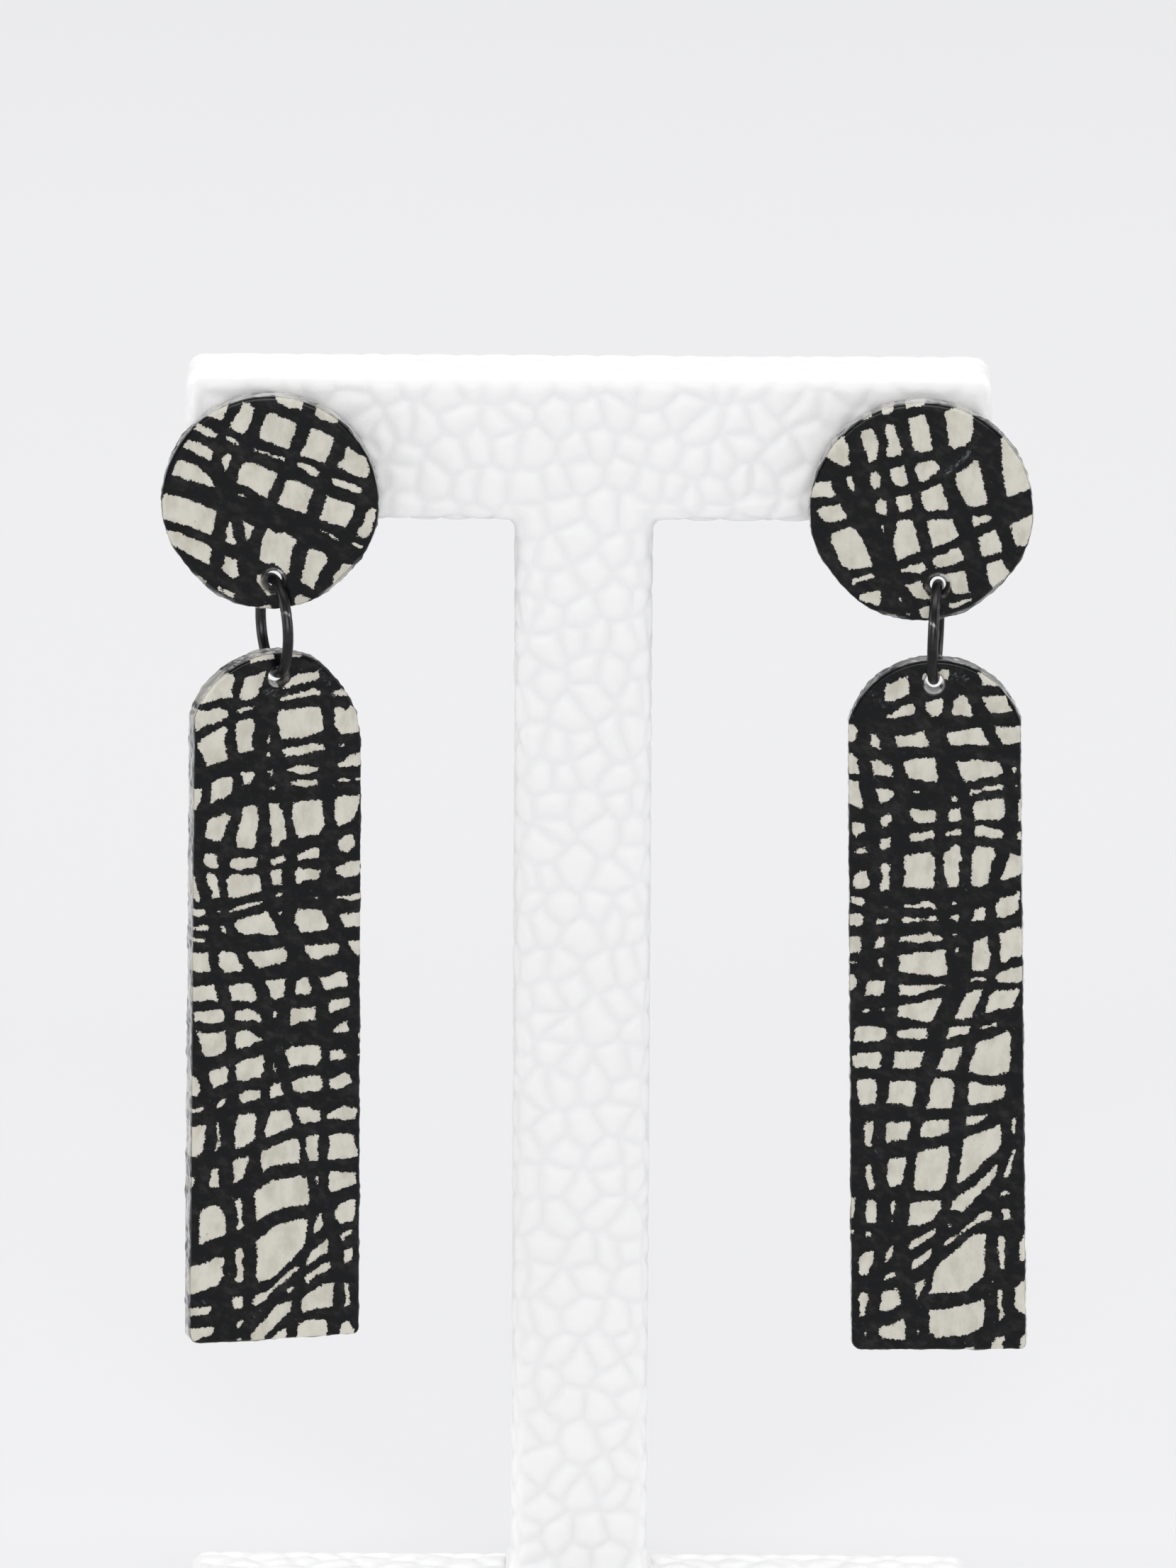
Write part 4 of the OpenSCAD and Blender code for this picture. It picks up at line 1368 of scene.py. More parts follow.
    def _calm_tee(self, spots: np.ndarray) -> np.ndarray:
        """The cover lies smoother over edges, at the crossbar's ends and at the cut foot.

        Args:
            spots: Points in millimetres.

        Returns:
            Strength of the grooves.
        """
        across, deep, up = spots.T
        beside = np.abs(across) - self.post_width / 2
        under = up - self.height + self.bar[1]
        along = np.abs(across - self.bar_shift) / (self.bar[0] / 2)
        ends = 1.0 - np.clip(along - (1.0 - self.end_loss), 0.0, self.end_loss)
        foot = np.clip(up - self.base[2] - self.post_foot, 0.0, 1.0)
        inward = np.minimum(deep - self.back + self.board, self.back - deep)
        edge = np.where(under > 0.0, self.height - up, -beside)
        edge = np.where((under > 0.0) & (beside > self.neck), np.minimum(edge, under), edge)
        gain = self.high_least - self.low_least
        calm = self._calm_edge(edge, inward, self.low_least + gain * smooth(under, *self.high_band))
        corner = smooth(np.hypot(beside, under), *self.neck_band)
        return ends * foot * calm * (self.neck_least + (1.0 - self.neck_least) * corner)

    def build_base(self) -> bpy.types.Object:
        """Builds the base.

        Returns:
            The base in millimetres.
        """
        width, depth, thickness = self.base
        bm = bmesh.new()
        self._padded(bm, (-width / 2, -depth / 2, 0.0), (width / 2, depth / 2, thickness), True)
        piece = solid("base_cover", bm)
        remesh(piece, self.grid)
        self._pebbled(piece, -depth / 2, self._calm_base)
        return piece

    def build_tee(self) -> bpy.types.Object:
        """Builds the post and crossbar as one wrapped board.

        Returns:
            The board in millimetres.
        """
        front, back = self.back - self.board, self.back
        left, right = self.bar_shift - self.bar[0] / 2, self.bar_shift + self.bar[0] / 2
        half, top = self.post_width / 2, self.height
        bm = bmesh.new()
        self._padded(bm, (left, front, top - self.bar[1]), (right, back, top), False)
        self._padded(bm, (-half, front, self.base[2]), (half, back, top - self.edge / 2), True)
        piece = solid("tee_cover", bm)
        remesh(piece, self.grid)
        self._pebbled(piece, front, self._calm_tee)
        self._flare_foot(piece, (front + back) / 2)
        for place in self.pin_places:
            drill = bmesh.new()
            bmesh.ops.create_cone(
                drill, cap_ends=True, segments=self.pin_hole_sides, radius1=self.pin_hole / 2,
                radius2=self.pin_hole / 2, depth=3 * self.board,
            )
            stand_up(drill, (place, back - self.board / 2, top - self.bar[1] / 2))
            cut_away(piece, drill)
        return piece

    def _flare_foot(self, piece: bpy.types.Object, middle: float) -> None:
        """Lets the cover flare where the post meets the base.

        Args:
            piece: The board.
            middle: Y of the board's middle.
        """
        points = get_points(piece.data)
        rise = np.clip(1.0 - (points[:, 2] - self.base[2]) / self.flare_height, 0.0, 1.0)
        offset = points - np.array([0.0, middle, 0.0])
        half = np.array([self.post_width / 2, self.board / 2, ENDLESS])
        outward = np.sign(offset) * (np.abs(offset) > half - self.flare_rim)
        set_points(piece.data, points + outward * (rise**2 * self.flare)[:, None])

    def build(self) -> None:
        """Builds and dresses the stand."""
        finish = self.finish.material()
        for piece, node in ((self.build_base(), "stand_base"), (self.build_tee(), "stand_tee")):
            dress(piece, Matrix.Identity(4), finish, "root", node)


@dataclass
class Pattern:
    """Cream windows that the black crosshatch leaves open on a plate's front.

    A window is a row of corners, each by how far it is to the right of and below the
    pattern's zero, in tenths of a millimetre.
    """

    windows: Windows
    unit: float = 0.1
    far: float = 0.9

    def ink_at(self, spots: np.ndarray) -> np.ndarray:
        """Signed distance to the nearest window's edge.

        Args:
            spots: Millimetres to the right of and below the pattern's zero.

        Returns:
            Millimetres, above zero in the ink and below zero in a window.
        """
        ink = np.full(len(spots), self.far)
        for window in self.windows:
            corners = np.array(window, float).reshape(-1, 2) * self.unit
            low, high = corners.min(axis=0) - self.far, corners.max(axis=0) + self.far
            near = np.nonzero(((spots > low) & (spots < high)).all(axis=1))[0]
            if len(near):
                ink[near] = np.minimum(ink[near], self._from_window(spots[near], corners))
        return ink

    @staticmethod
    def _from_window(spots: np.ndarray, corners: np.ndarray) -> np.ndarray:
        """Signed distance from one window.

        Args:
            spots: Points to measure.
            corners: The window's corners, in order.

        Returns:
            Distance, below zero inside.
        """
        nearest = np.full(len(spots), ENDLESS)
        inside = np.zeros(len(spots), bool)
        across, down = spots.T
        for start, end in zip(corners, np.roll(corners, -1, axis=0)):
            nearest = np.minimum(nearest, reach(spots, start, end))
            run, rise = end - start
            rise = rise if abs(rise) > TINY else TINY
            crosses = (start[1] > down) != (end[1] > down)
            inside ^= crosses & (across < start[0] + (down - start[1]) * run / rise)
        return np.where(inside, -nearest, nearest)


@dataclass
class Plate:
    """A varnished plate, its hole at the origin and its front towards -Y.

    A band is where a smooth step starts and where it ends. The noises of the dents and
    ripples are waves per millimetre, what is added to the seed, and a strength.
    """

    pattern: Pattern
    finish: VarnishedPrint
    zero: Pair
    seed: float
    thickness: float = 2.2
    hole_d: float = 1.6
    sink_d: float = 1.8
    lining: float = 0.12
    hole_steps: int = 8
    hole_sides: int = 48
    hole_curve: float = 1.7
    overshoot: float = 0.2
    waist_shift: Pair = (0.0, 0.0)
    # painted highlight in the hole: its bearing, spread and strength
    glint: Triple = (45.0, 25.0, 1.0)
    glint_front: float = 0.5
    glint_fade: Pair = (0.7, 1.3)
    glint_band: Pair = (-0.04, 0.06)
    sink_band: Pair = (-0.10, 0.08)
    rim: float = 0.34
    rim_steps: int = 3
    rim_band: Pair = (0.30, 0.75)
    rim_clear: Pair = (1.3, 1.6)
    hole_clear: Pair = (1.2, 2.2)
    dents: Tuple[Triple, Triple] = ((0.55, 0.0, 0.6), (1.9, 7.0, 0.6))
    dent_shift: float = 0.12
    uneven: float = 0.15
    ripple: Triple = (0.28, 13.0, 0.035)
    ripple_shift: float = 0.6
    grid: float = 0.155
    dark_rim: Tuple[Pair, ...] = ()
    dark_fade: float = 0.4
    scuffs: Tuple[Scuff, ...] = ()
    scuff_fade: Pair = (0.3, 1.2)

    def outline(self, bm: bmesh.types.BMesh) -> None:
        """Draws the outline as one face through the plate's middle."""
        raise NotImplementedError

    def round_corners(self, bm: bmesh.types.BMesh) -> None:
        """Rounds the outline's corners, where it has any."""

    def settle(self, points: np.ndarray) -> np.ndarray:
        """Moves a few places of the outline to where the real plate has them."""
        return points

    def lit_lip(self, points: np.ndarray) -> np.ndarray:
        """Where clear varnish stands out past the print, painted pale as a lit rim, from 0 to 1."""
        return np.zeros(len(points))

    def build(self, name: str) -> bpy.types.Object:
        """Builds the plate around its hole.

        Args:
            name: The piece's name.

        Returns:
            The plate in millimetres, with its shader's attributes.
        """
        bm = bmesh.new()
        self.outline(bm)
        bmesh.ops.translate(bm, vec=(0.0, -self.thickness / 2, 0.0), verts=bm.verts)
        raised = bmesh.ops.extrude_face_region(bm, geom=bm.faces[:])
        lifted = [item for item in raised["geom"] if isinstance(item, bmesh.types.BMVert)]
        bmesh.ops.translate(bm, vec=(0.0, self.thickness, 0.0), verts=lifted)
        bmesh.ops.recalc_face_normals(bm, faces=bm.faces)
        self.round_corners(bm)
        rims = [
            edge for edge in bm.edges if abs(edge.verts[0].co.y - edge.verts[1].co.y) < NEAR
        ]
        round_edges(bm, rims, self.rim, self.rim_steps)
        piece = solid(name, bm)
        cut_away(piece, self._drill())
        remesh(piece, self.grid)
        self._age(piece)
        return piece

    def _drill(self) -> bmesh.types.BMesh:
        """The hole's shape: varnish narrows it to a waist between its two countersinks.

        Returns:
            The shape to cut away.
        """
        half, wide = self.thickness / 2, self.sink_d / 2
        waist, steps = self.hole_d / 2 - self.lining, self.hole_steps
        depths = [half * step / steps for step in range(-steps - 1, steps + 2)]
        wall = [
            (waist + (wide - waist) * abs(depth / half) ** self.hole_curve, depth)
            for depth in depths
        ]
        low, high = depths[0] - self.overshoot, depths[-1] + self.overshoot
        drill = lathed(
            [(0.0, low), (wall[0][0], low), *wall, (wall[-1][0], high), (0.0, high)],
            self.hole_sides,
        )
        for corner in drill.verts:
            nearness = max(0.0, 1.0 - abs(corner.co.y) / half)
            corner.co.x += self.waist_shift[0] * nearness
            corner.co.z += self.waist_shift[1] * nearness
        return drill

    def _age(self, piece: bpy.types.Object) -> None:
        """Makes the plate slightly uneven and stores what its finish reads.

        Args:
            piece: The skinned plate.
        """
        points = get_points(piece.data)
        normals = get_points(piece.data, "normal")
        hole = np.hypot(points[:, 0], points[:, 2])
        rim = smooth(1.0 - np.abs(normals[:, 1]), *self.rim_band) * smooth(hole, *self.rim_clear)
        dent = sum(self._wavy(points, wave) for wave in self.dents) - self.dent_shift
        scale, shift, strength = self.ripple
        ripple = (waves(points, scale, self.seed + shift) - self.ripple_shift) * strength
        rise = smooth(hole, *self.hole_clear) * (
            rim * dent * self.uneven + (1.0 - rim) * ripple
        )
        set_points(piece.data, self.settle(points + normals * rise[:, None]))
        spots = np.stack([points[:, 0] - self.zero[0], self.zero[1] - points[:, 2]], axis=1)
        for name, values in (
            ("ink", self.pattern.ink_at(spots)),
            # partly painted light: the disc's real varnish edge, painted pale as a lit rim, joins
            # the rim mask
            ("rim", np.maximum(rim, self.lit_lip(points))),
            ("sink", self._mouth(hole, self.sink_band)),
            # painted highlight: the glint mask
            ("glint", self._glinting(points, hole)),
            ("dark_rim", self._darkened(spots[:, 1]) * rim),
            ("scuff", self._scuffed(spots)),
        ):
            store(piece.data, name, values)

    def _wavy(self, points: np.ndarray, wave: Triple) -> np.ndarray:
        """One of the plate's noises on each point."""
        scale, shift, strength = wave
        return waves(points, scale, self.seed + shift) * strength

    def _mouth(self, hole: np.ndarray, band: Pair) -> np.ndarray:
        """1 in the hole, falling to 0 over a band about its mouth."""
        low, high = band
        return 1.0 - smooth(hole, self.sink_d / 2 + low, self.sink_d / 2 + high)

    def _glinting(self, points: np.ndarray, hole: np.ndarray) -> np.ndarray:
        """Where a highlight is painted on the varnish in the hole, as if it caught the light.

        Args:
            points: Points in millimetres.
            hole: Their distance from the hole's middle.

        Returns:
            Strength from 0 to 1.
        """
        middle, spread, strength = self.glint
        off = np.abs((bearing(points[:, 0], points[:, 2]) - middle + 180.0) % 360.0 - 180.0)
        start, end = (spread * factor for factor in self.glint_fade)
        cone = self._mouth(hole, self.glint_band) * (points[:, 1] < self.glint_front)
        return strength * cone * (1.0 - smooth(off, start, end))

    def _darkened(self, down: np.ndarray) -> np.ndarray:
        """Where the rim's varnish is dark.

        Args:
            down: Millimetres below the pattern's zero.

        Returns:
            Strength from 0 to 1.
        """
        fade = self.dark_fade
        return strongest(len(down), (
            smooth(down, start - fade, start) * (1.0 - smooth(down, end, end + fade))
            for start, end in self.dark_rim
        ))

    def _scuffed(self, spots: np.ndarray) -> np.ndarray:
        """How strongly the varnish is scuffed at each spot.

        Args:
            spots: Millimetres to the right of and below the pattern's zero.

        Returns:
            Strength from 0 to 1.
        """
        worn = np.zeros(len(spots))
        for left, top, right, foot, width, strength in self.scuffs:
            away = reach(spots, np.array([left, top]), np.array([right, foot]))
            start, end = (width * factor for factor in self.scuff_fade)
            worn = np.maximum(worn, strength * (1.0 - smooth(away, start, end)))
        return worn


@dataclass
class StudDisc(Plate):
    """Round plate that is worn on the ear. Flats and lit_lips are angles in degrees."""

    diameter: float = 18.1
    sides: int = 120
    sink_d: float = 2.1
    lining: float = 0.15
    grid: float = 0.125
    flats: Tuple[float, ...] = (218.0, 318.0)
    flat_pull: float = 0.17
    flat_band: Pair = (2.0, 26.0)
    flat_reach: Pair = (2.2, 0.1)
    # painted light: stretches of edge painted pale as a lit rim, as angles from start to end
    lit_lips: Tuple[Pair, ...] = ()
    lip_fade: float = 8.0
    lip_reach: Pair = (0.36, 0.20)
    lip_waves: Pair = (0.9, 0.07)

    def outline(self, bm: bmesh.types.BMesh) -> None:
        """Draws the disc."""
        bmesh.ops.create_circle(bm, cap_ends=True, radius=self.diameter / 2, segments=self.sides)
        stand_up(bm, (self.zero[0], 0.0, self.zero[1]))

    def _near_edge(self, radius: np.ndarray, band: Pair) -> np.ndarray:
        """Rises from 0 to 1 between two distances inwards from the disc's edge."""
        start, end = (self.diameter / 2 - inward for inward in band)
        return smooth(radius, start, end)

    def lit_lip(self, points: np.ndarray) -> np.ndarray:
        """Where clear varnish stands out past the print along parts of the edge, painted pale as a
        lit rim.

        Args:
            points: Points in millimetres.

        Returns:
            Strength from 0 to 1.
        """
        across, up = points[:, 0] - self.zero[0], points[:, 2] - self.zero[1]
        angle, fade = bearing(across, up), self.lip_fade
        scale, height = self.lip_waves
        radius = np.hypot(across, up) + height * waves(points, scale, self.seed)
        along = strongest(len(points), (
            smooth(angle, start, start + fade) * (1.0 - smooth(angle, end - fade, end))
            for start, end in self.lit_lips
        ))
        return self._near_edge(radius, self.lip_reach) * along

    def settle(self, points: np.ndarray) -> np.ndarray:
        """Flattens the disc's edge at its lower left and right.

        Args:
            points: Points in millimetres.

        Returns:
            The moved points.
        """
        offset = points - np.array([self.zero[0], 0.0, self.zero[1]])
        offset[:, 1] = 0.0
        radius = np.hypot(offset[:, 0], offset[:, 2])
        angle = bearing(offset[:, 0], offset[:, 2])
        near = strongest(len(points), (
            1.0 - smooth(np.abs(angle - flat), *self.flat_band) for flat in self.flats
        ))
        pull = self.flat_pull * near * self._near_edge(radius, self.flat_reach)
        return points - offset / np.maximum(radius, TINY)[:, None] * pull[:, None]


@dataclass
class BarDrop(Plate):
    """Long bar with an arched top."""

    length: float = 59.1
    top_width: float = 14.4
    foot_width: float = 14.75
    arch: float = 7.6
    arch_steps: int = 40
    corners: Pair = (0.6, 0.6)
    corner_steps: int = 5
    slack_shoulder: float = 0.0
    slack: Pair = (0.8, 0.6)
    slack_across: Pair = (2.5, 6.5)
    slack_down: Pair = (4.5, 8.5)
    spare_foot: float = 0.0
    spare_from: float = 0.6

    @property
    def foot(self) -> float:
        """Z of the bar's foot."""
        return self.zero[1] - self.length

    def outline(self, bm: bmesh.types.BMesh) -> None:
        """Draws the bar.

        Args:
            bm: Where it goes.
        """
        half, wide, top = self.top_width / 2, self.foot_width / 2, self.zero[1]
        drop = self.arch - math.sqrt(self.arch**2 - half**2)
        shoulder = bm.verts.new((-half, 0.0, top - drop))
        made = bmesh.ops.spin(
            bm, geom=[shoulder], cent=(0.0, 0.0, top - self.arch), axis=(0, 1, 0),
            angle=2 * math.asin(half / self.arch), steps=self.arch_steps, use_merge=False,
            use_duplicate=False,
        )
        last = next(item for item in made["geom_last"] if isinstance(item, bmesh.types.BMVert))
        right = bm.verts.new((wide, 0.0, self.foot))
        left = bm.verts.new((-wide, 0.0, self.foot))
        for pair in ((last, right), (right, left), (left, shoulder)):
            bm.edges.new(pair)
        bmesh.ops.contextual_create(bm, geom=bm.edges[:])

    def round_corners(self, bm: bmesh.types.BMesh) -> None:
        """Rounds the two corners of the foot.

        Args:
            bm: The plate.
        """
        for sign, radius in zip((-1.0, 1.0), self.corners):
            corner = Vector((sign * self.foot_width / 2, self.foot))
            edges = [
                edge for edge in bm.edges
                if all((v.co.xz - corner).length < NEAR for v in edge.verts)
            ]
            round_edges(bm, edges, radius, self.corner_steps)

    def settle(self, points: np.ndarray) -> np.ndarray:
        """Lets the right shoulder fall a little inside the arch and the foot run out a little.

        Args:
            points: Points in millimetres.

        Returns:
            The moved points.
        """
        down = self.zero[1] - points[:, 2]
        inward, lower = self.slack
        near = smooth(points[:, 0], *self.slack_across) * (1.0 - smooth(down, *self.slack_down))
        pull = self.slack_shoulder * near
        run_out = self.spare_foot * smooth(down, self.spare_from * self.length, self.length)
        return points - np.stack([inward * pull, 0.0 * pull, lower * pull + run_out], axis=1)


@dataclass
class JumpRing:
    """Round wire ring whose two ends butt together."""

    radius: float = 3.95
    wire: float = 0.9
    wire_sides: int = 24
    steps: int = 240
    joint_above: float = 24.0
    joint_slant: float = 4.0
    joint_band: Pair = (0.3, 1.5)
    joint_depth: float = 0.03
    bright_band: Pair = (0.5, 1.9)
    # painted highlight: where across the wire the cut's glint is painted
    glint_strip_band: Pair = (0.3, 0.75)
    glint_strip_shift: float = 0.1
    finish: DarkWire = field(default_factory=DarkWire)

    def build(self, name: str) -> bpy.types.Object:
        """Builds the ring about the Z axis.

        Args:
            name: The piece's name.

        Returns:
            The ring in millimetres.
        """
        bm = bmesh.new()
        bmesh.ops.create_circle(bm, radius=self.wire / 2, segments=self.wire_sides)
        stand_up(bm, (self.radius, 0.0, 0.0))
        piece = solid(name, turned(bm, bm.verts[:] + bm.edges[:], (0, 0, 1), self.steps))
        points = get_points(piece.data)
        normals = get_points(piece.data, "normal")
        angle = np.degrees(np.arctan2(points[:, 1], points[:, 0]))
        level = points[:, 2] / (self.wire / 2)
        past = np.abs(angle + 90.0 + self.joint_above - level * self.joint_slant)
        notch = self.joint_depth * (1.0 - smooth(past, *self.joint_band))
        set_points(piece.data, points - normals * notch[:, None])
        # painted highlight: the cut is real, its brightness is a glint painted along the middle of
        # the wire's width, as seen from the front
        glint_strip = 1.0 - smooth(np.abs(level + self.glint_strip_shift), *self.glint_strip_band)
        store(piece.data, "joint_glint", (1.0 - smooth(past, *self.bright_band)) * glint_strip)
        return piece


@dataclass
class EarPost:
    """Flat glue pad with a pin, turned from one piece."""

    pad: Pair = (6.0, 0.6)
    pin: Pair = (0.8, 10.5)
    soft: float = 0.12
    steps: int = 40
    finish: PostSteel = field(default_factory=PostSteel)

    def build(self, name: str) -> bpy.types.Object:
        """Builds the post along Y, its pad's face at y = 0.

        Args:
            name: The piece's name.

        Returns:
            The post in millimetres.
        """
        radius, thick, soft = self.pad[0] / 2, self.pad[1], self.soft
        thin, tip = self.pin[0] / 2, thick + self.pin[1]
        profile = (
            (0.0, 0.0), (radius - soft, 0.0), (radius, soft),
            (radius, thick - soft), (radius - soft, thick), (thin, thick),
            (thin, tip - 2 * soft), (thin - 0.5 * soft, tip - soft), (thin - 2 * soft, tip),
            (0.0, tip),
        )
        return solid(name, lathed(profile, self.steps))


@dataclass
class Earring:
    """One earring: disc, post, jump ring and bar drop, hung on the stand.

    Turns, yaws and leans are in degrees. A play is how far the ring's middle line lies from
    the middle of a hole.
    """

    side: Side
    disc: StudDisc
    drop: BarDrop
    disc_centre: Pair
    hole_turn: float
    hole_reach: float
    ring_yaw: float
    ring_lean: float
    drop_yaw: float
    drop_lean: float
    top_play: float
    foot_play: float = 0.22
    board_front: float = 12.0
    pin_height: float = 105.9
    ring: JumpRing = field(default_factory=JumpRing)
    post: EarPost = field(default_factory=EarPost)

    @property
    def hole(self) -> Vector:
        """Middle of the hole in the disc.

        Returns:
            The place in millimetres.
        """
        turn = math.radians(self.hole_turn)
        return Vector((
            self.disc_centre[0] + self.hole_reach * math.sin(turn),
            self.board_front - self.post.pad[1] - self.disc.thickness / 2,
            self.disc_centre[1] - self.hole_reach * math.cos(turn),
        ))

    def _hung(self, down: float, yaw: float, turn: float) -> Matrix:
        """A place that hangs below the disc's hole, on the ring's leaning line.

        Args:
            down: How far down that line.
            yaw: Turn about the upright axis there.
            turn: Turn about Y there.

        Returns:
            The place in millimetres.
        """
        return (
            Matrix.Translation(self.hole)
            @ Matrix.Rotation(math.radians(-self.ring_lean), 4, "Y")
            @ Matrix.Translation((0.0, 0.0, -down))
            @ Matrix.Rotation(math.radians(yaw), 4, "Z")
            @ Matrix.Rotation(math.radians(turn), 4, "Y")
        )

    def build(self) -> None:
        """Builds, places and dresses the earring's pieces."""
        side, radius = self.side.value, self.ring.radius
        across, depth = self.disc_centre[0], self.board_front - self.post.pad[1]
        foot = self.top_play + 2 * radius + self.foot_play
        hang = Matrix.Translation(self.hole)
        pin = Matrix.Translation((across, depth, self.pin_height))
        ring = self._hung(self.top_play + radius, self.ring_yaw, 90.0)
        drop = self._hung(foot, self.drop_yaw, self.ring_lean - self.drop_lean)
        plate = self.disc.finish.material()
        steel, wire = self.post.finish.material(), self.ring.finish.material()
        for kind, model, place, finish, slot, body, node in (
            ("disc", self.disc, hang, plate, Slot.PLATE, "root", "stud_disc"),
            ("post", self.post, pin, steel, Slot.STEEL, "root", "ear_post"),
            ("ring", self.ring, ring, wire, Slot.WIRE, f"ring_{side}", "jump_ring"),
            ("drop", self.drop, drop, plate, Slot.PLATE, f"bar_{side}", "drop"),
        ):
            piece = model.build(f"{side}_{kind}")
            dress(piece, place, finish, body, f"{node}_{side}")


@dataclass(frozen=True)
class Lamp:
    """One soft rectangular light: its place and size in metres and its power in watts."""

    name: str
    place: Triple
    size: Pair
    power: float

    def build(self, target: Triple) -> None:
        """Hangs the light.

        Args:
            target: What it faces, in metres.
        """
        lamp = bpy.data.lights.new(self.name, "AREA")
        lamp.shape = "RECTANGLE"
        lamp.size, lamp.size_y = self.size
        lamp.energy = self.power
        holder = link(self.name, lamp)
        holder.location = self.place
        aim = Vector(target) - Vector(self.place)
        holder.rotation_euler = aim.to_track_quat("-Z", "Y").to_euler()


@dataclass
class Studio:
    """Pale floor, soft lights and the camera at the photograph's viewing angle."""

    floor_reach: float = 2.5
    floor_parts: int = 4
    paper: StudioPaper = field(default_factory=StudioPaper)
    sky: Colour = (0.93, 0.93, 0.938)
    sky_strength: float = 0.25
    lamp_target: Triple = (0.0, 0.01, 0.06)
    lamps: Tuple[Lamp, ...] = (
        Lamp("overhead_light", (0.0, 0.40, 2.30), (2.8, 2.2), 50.0),
        Lamp("far_light", (0.0, 2.10, 1.60), (2.4, 1.2), 8.9),
        Lamp("left_light", (-0.42, -2.25, 0.80), (1.0, 1.0), 13.9),
        Lamp("right_light", (0.42, -2.25, 0.80), (1.0, 1.0), 13.4),
        Lamp("left_wall", (-2.1, 0.0, 0.7), (1.6, 1.2), 19.5),
        Lamp("right_wall", (2.1, 0.0, 0.7), (1.6, 1.2), 17.0),
    )
    distance: float = 1200.0
    looks_down: float = 13.5
    roll: float = 0.30
    aim: Triple = (0.4584, 12.0, 77.347)
    lens: float = 330.6
    sensor: float = 36.0
    clip: Pair = (0.05, 20.0)

    def build_floor(self) -> None:
        """Lays the floor under the stand."""
        parts = self.floor_parts
        bm = bmesh.new()
        bmesh.ops.create_grid(bm, x_segments=parts, y_segments=parts, size=self.floor_reach)
        mesh = bpy.data.meshes.new("studio_floor")
        bm.to_mesh(mesh)
        bm.free()
        mesh.materials.append(self.paper.material())
        link("studio_floor", mesh)

    def build_sky(self) -> None:
        """Fills the room with even pale light."""
        world = bpy.data.worlds.new("studio_sky")
        world.use_nodes = True
        background = world.node_tree.nodes["Background"]
        background.inputs["Color"].default_value = (*self.sky, 1.0)
        background.inputs["Strength"].default_value = self.sky_strength
        bpy.context.scene.world = world

    def build_camera(self) -> None:
        """Sets up the camera."""
        down, roll = math.radians(self.looks_down), math.radians(self.roll)
        forward = Vector((0.0, math.cos(down), -math.sin(down)))
        upright = Vector((0.0, math.sin(down), math.cos(down)))
        right = Vector((1.0, 0.0, 0.0))
        across = math.cos(roll) * right + math.sin(roll) * upright
        above = -math.sin(roll) * right + math.cos(roll) * upright
        place = (Vector(self.aim) - forward * self.distance) * MM
        lens = bpy.data.cameras.new("photo_view")
        lens.sensor_fit = "AUTO"
        lens.sensor_width = self.sensor
        lens.lens = self.lens
        lens.clip_start, lens.clip_end = self.clip
        camera = link("photo_view", lens)
        turn = Matrix((across, above, -forward)).transposed().to_4x4()
        camera.matrix_world = Matrix.Translation(place) @ turn
        bpy.context.scene.camera = camera

    def build(self) -> None:
        """Builds the floor, the lights and the camera."""
        bpy.context.scene.view_settings.view_transform = "Standard"
        self.build_floor()
        self.build_sky()
        for lamp in self.lamps:
            lamp.build(self.lamp_target)
        self.build_camera()


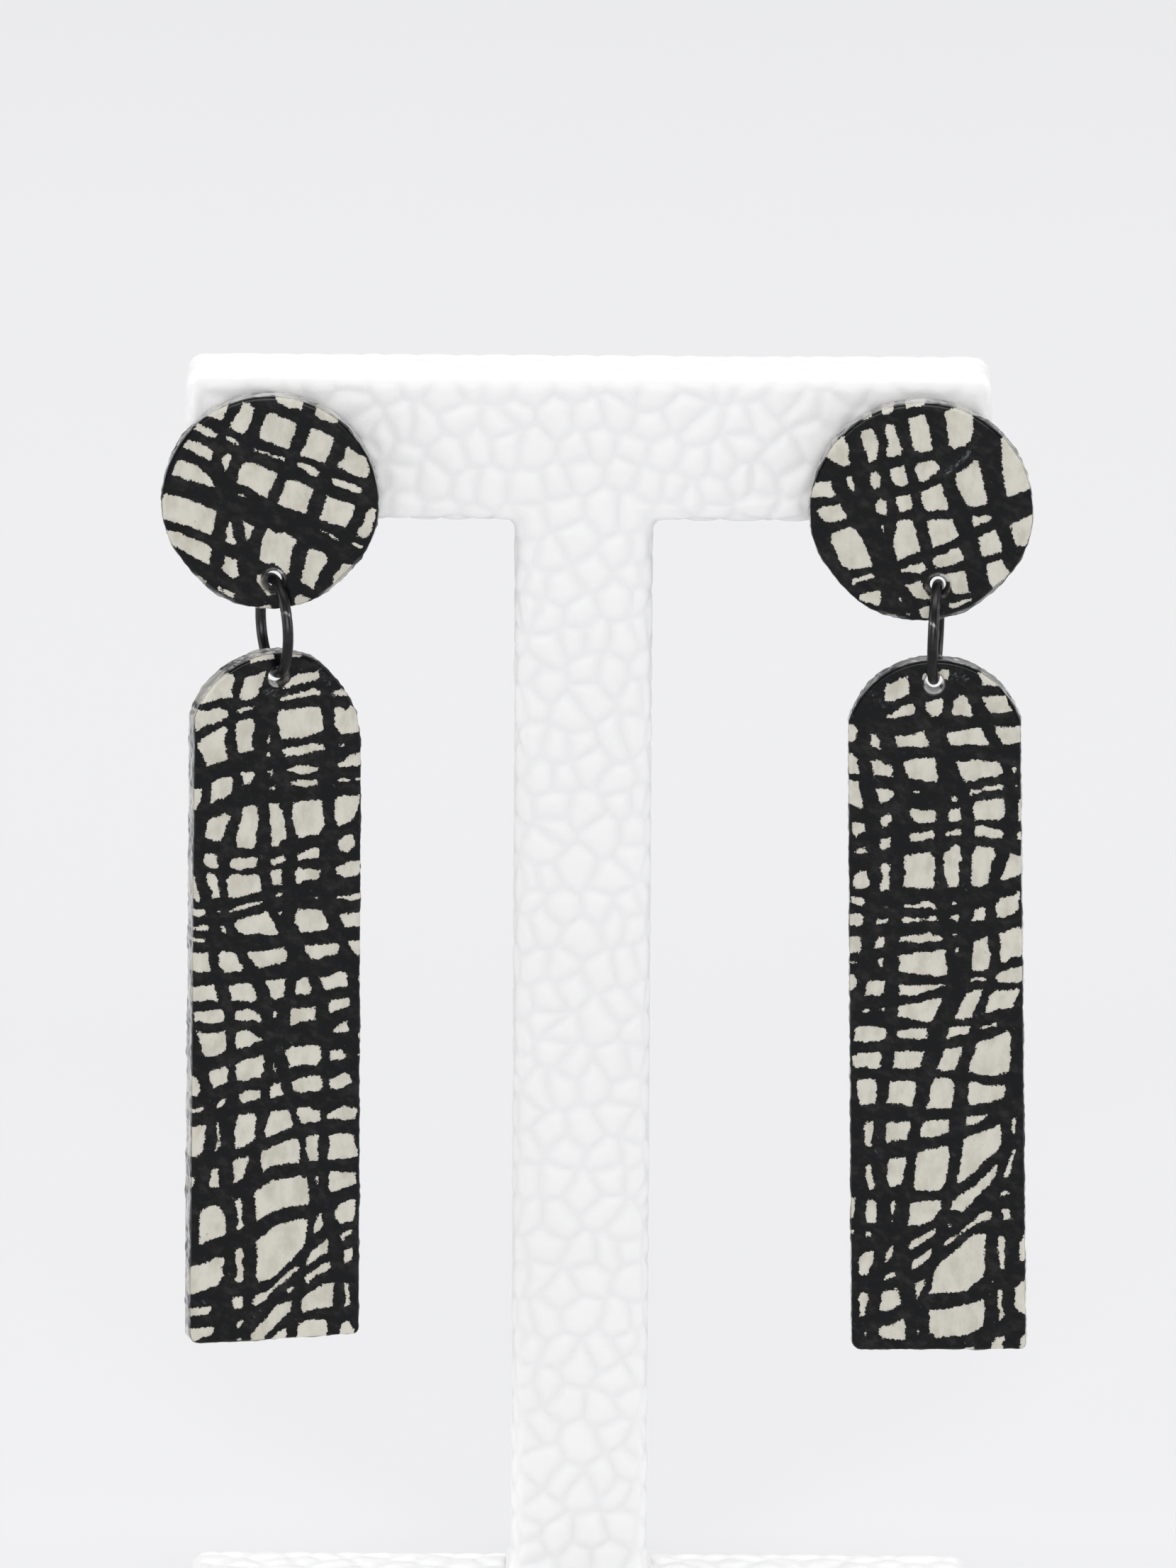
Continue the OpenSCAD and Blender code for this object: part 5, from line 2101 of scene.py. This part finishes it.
def left_earring() -> Earring:
    """Sets out the earring on the viewer's left.

    Returns:
        The earring, not yet built.
    """
    finish = VarnishedPrint("left_varnished_print")
    disc = StudDisc(
        Pattern(LEFT_DISC_WINDOWS), finish, zero=(-0.2303, 6.596), seed=5.0, diameter=18.1,
        waist_shift=(0.01, -0.03), glint=(52.0, 16.0, 1.0),
        lit_lips=((222.0, 252.0), (296.0, 330.0)),
    )
    drop = BarDrop(
        Pattern(LEFT_DROP_WINDOWS), finish, zero=(0.0, 2.06), seed=11.0, corners=(1.0, 0.6),
        waist_shift=(0.0, 0.12), glint=(238.0, 34.0, 1.0), slack_shoulder=0.5,
        dark_rim=((43.0, 45.0), (51.0, 60.0)),
        scuffs=((-1.0, 3.2, 0.7, 3.7, 0.35, 0.8), (3.6, 1.5, 5.0, 3.6, 0.3, 0.7)),
    )
    return Earring(
        Side.LEFT, disc, drop, disc_centre=(-25.96, 101.8), hole_turn=2.0, hole_reach=6.6,
        ring_yaw=18.0, ring_lean=1.2, drop_yaw=15.5, drop_lean=-0.35, top_play=0.09,
    )


def right_earring() -> Earring:
    """Sets out the earring on the viewer's right.

    Returns:
        The earring, not yet built.
    """
    finish = VarnishedPrint("right_varnished_print")
    disc = StudDisc(
        Pattern(RIGHT_DISC_WINDOWS), finish, zero=(-1.4397, 6.236), seed=17.0, diameter=18.6,
        waist_shift=(0.02, -0.08), glint=(50.0, 30.0, 1.0),
        lit_lips=((246.0, 264.0), (272.0, 322.0)),
        scuffs=((1.9, -3.3, 4.1, -5.3, 0.3, 0.9), (-2.55, -5.1, -2.45, -5.3, 0.14, 0.6)),
    )
    drop = BarDrop(
        Pattern(RIGHT_DROP_WINDOWS), finish, zero=(0.0, 2.06), seed=23.0, corners=(0.9, 0.5),
        waist_shift=(0.0, 0.12), glint=(255.0, 62.0, 1.0), spare_foot=0.42,
        scuffs=((1.4, 1.3, 2.6, 1.5, 0.4, 0.9), (-5.2, 2.6, -4.2, 4.0, 0.3, 0.6)),
    )
    return Earring(
        Side.RIGHT, disc, drop, disc_centre=(27.93, 101.3), hole_turn=13.0, hole_reach=6.4,
        ring_yaw=-5.0, ring_lean=-1.4, drop_yaw=-1.5, drop_lean=1.0, top_play=0.22,
        ring=JumpRing(joint_above=20.0),
    )


def main() -> None:
    """Builds the stand, both earrings and the studio, and notes the sizes."""
    logging.basicConfig(level=logging.INFO, format="%(name)s: %(message)s")
    DisplayStand().build()
    left_earring().build()
    right_earring().build()
    Studio().build()


if __name__ == "__main__":
    main()
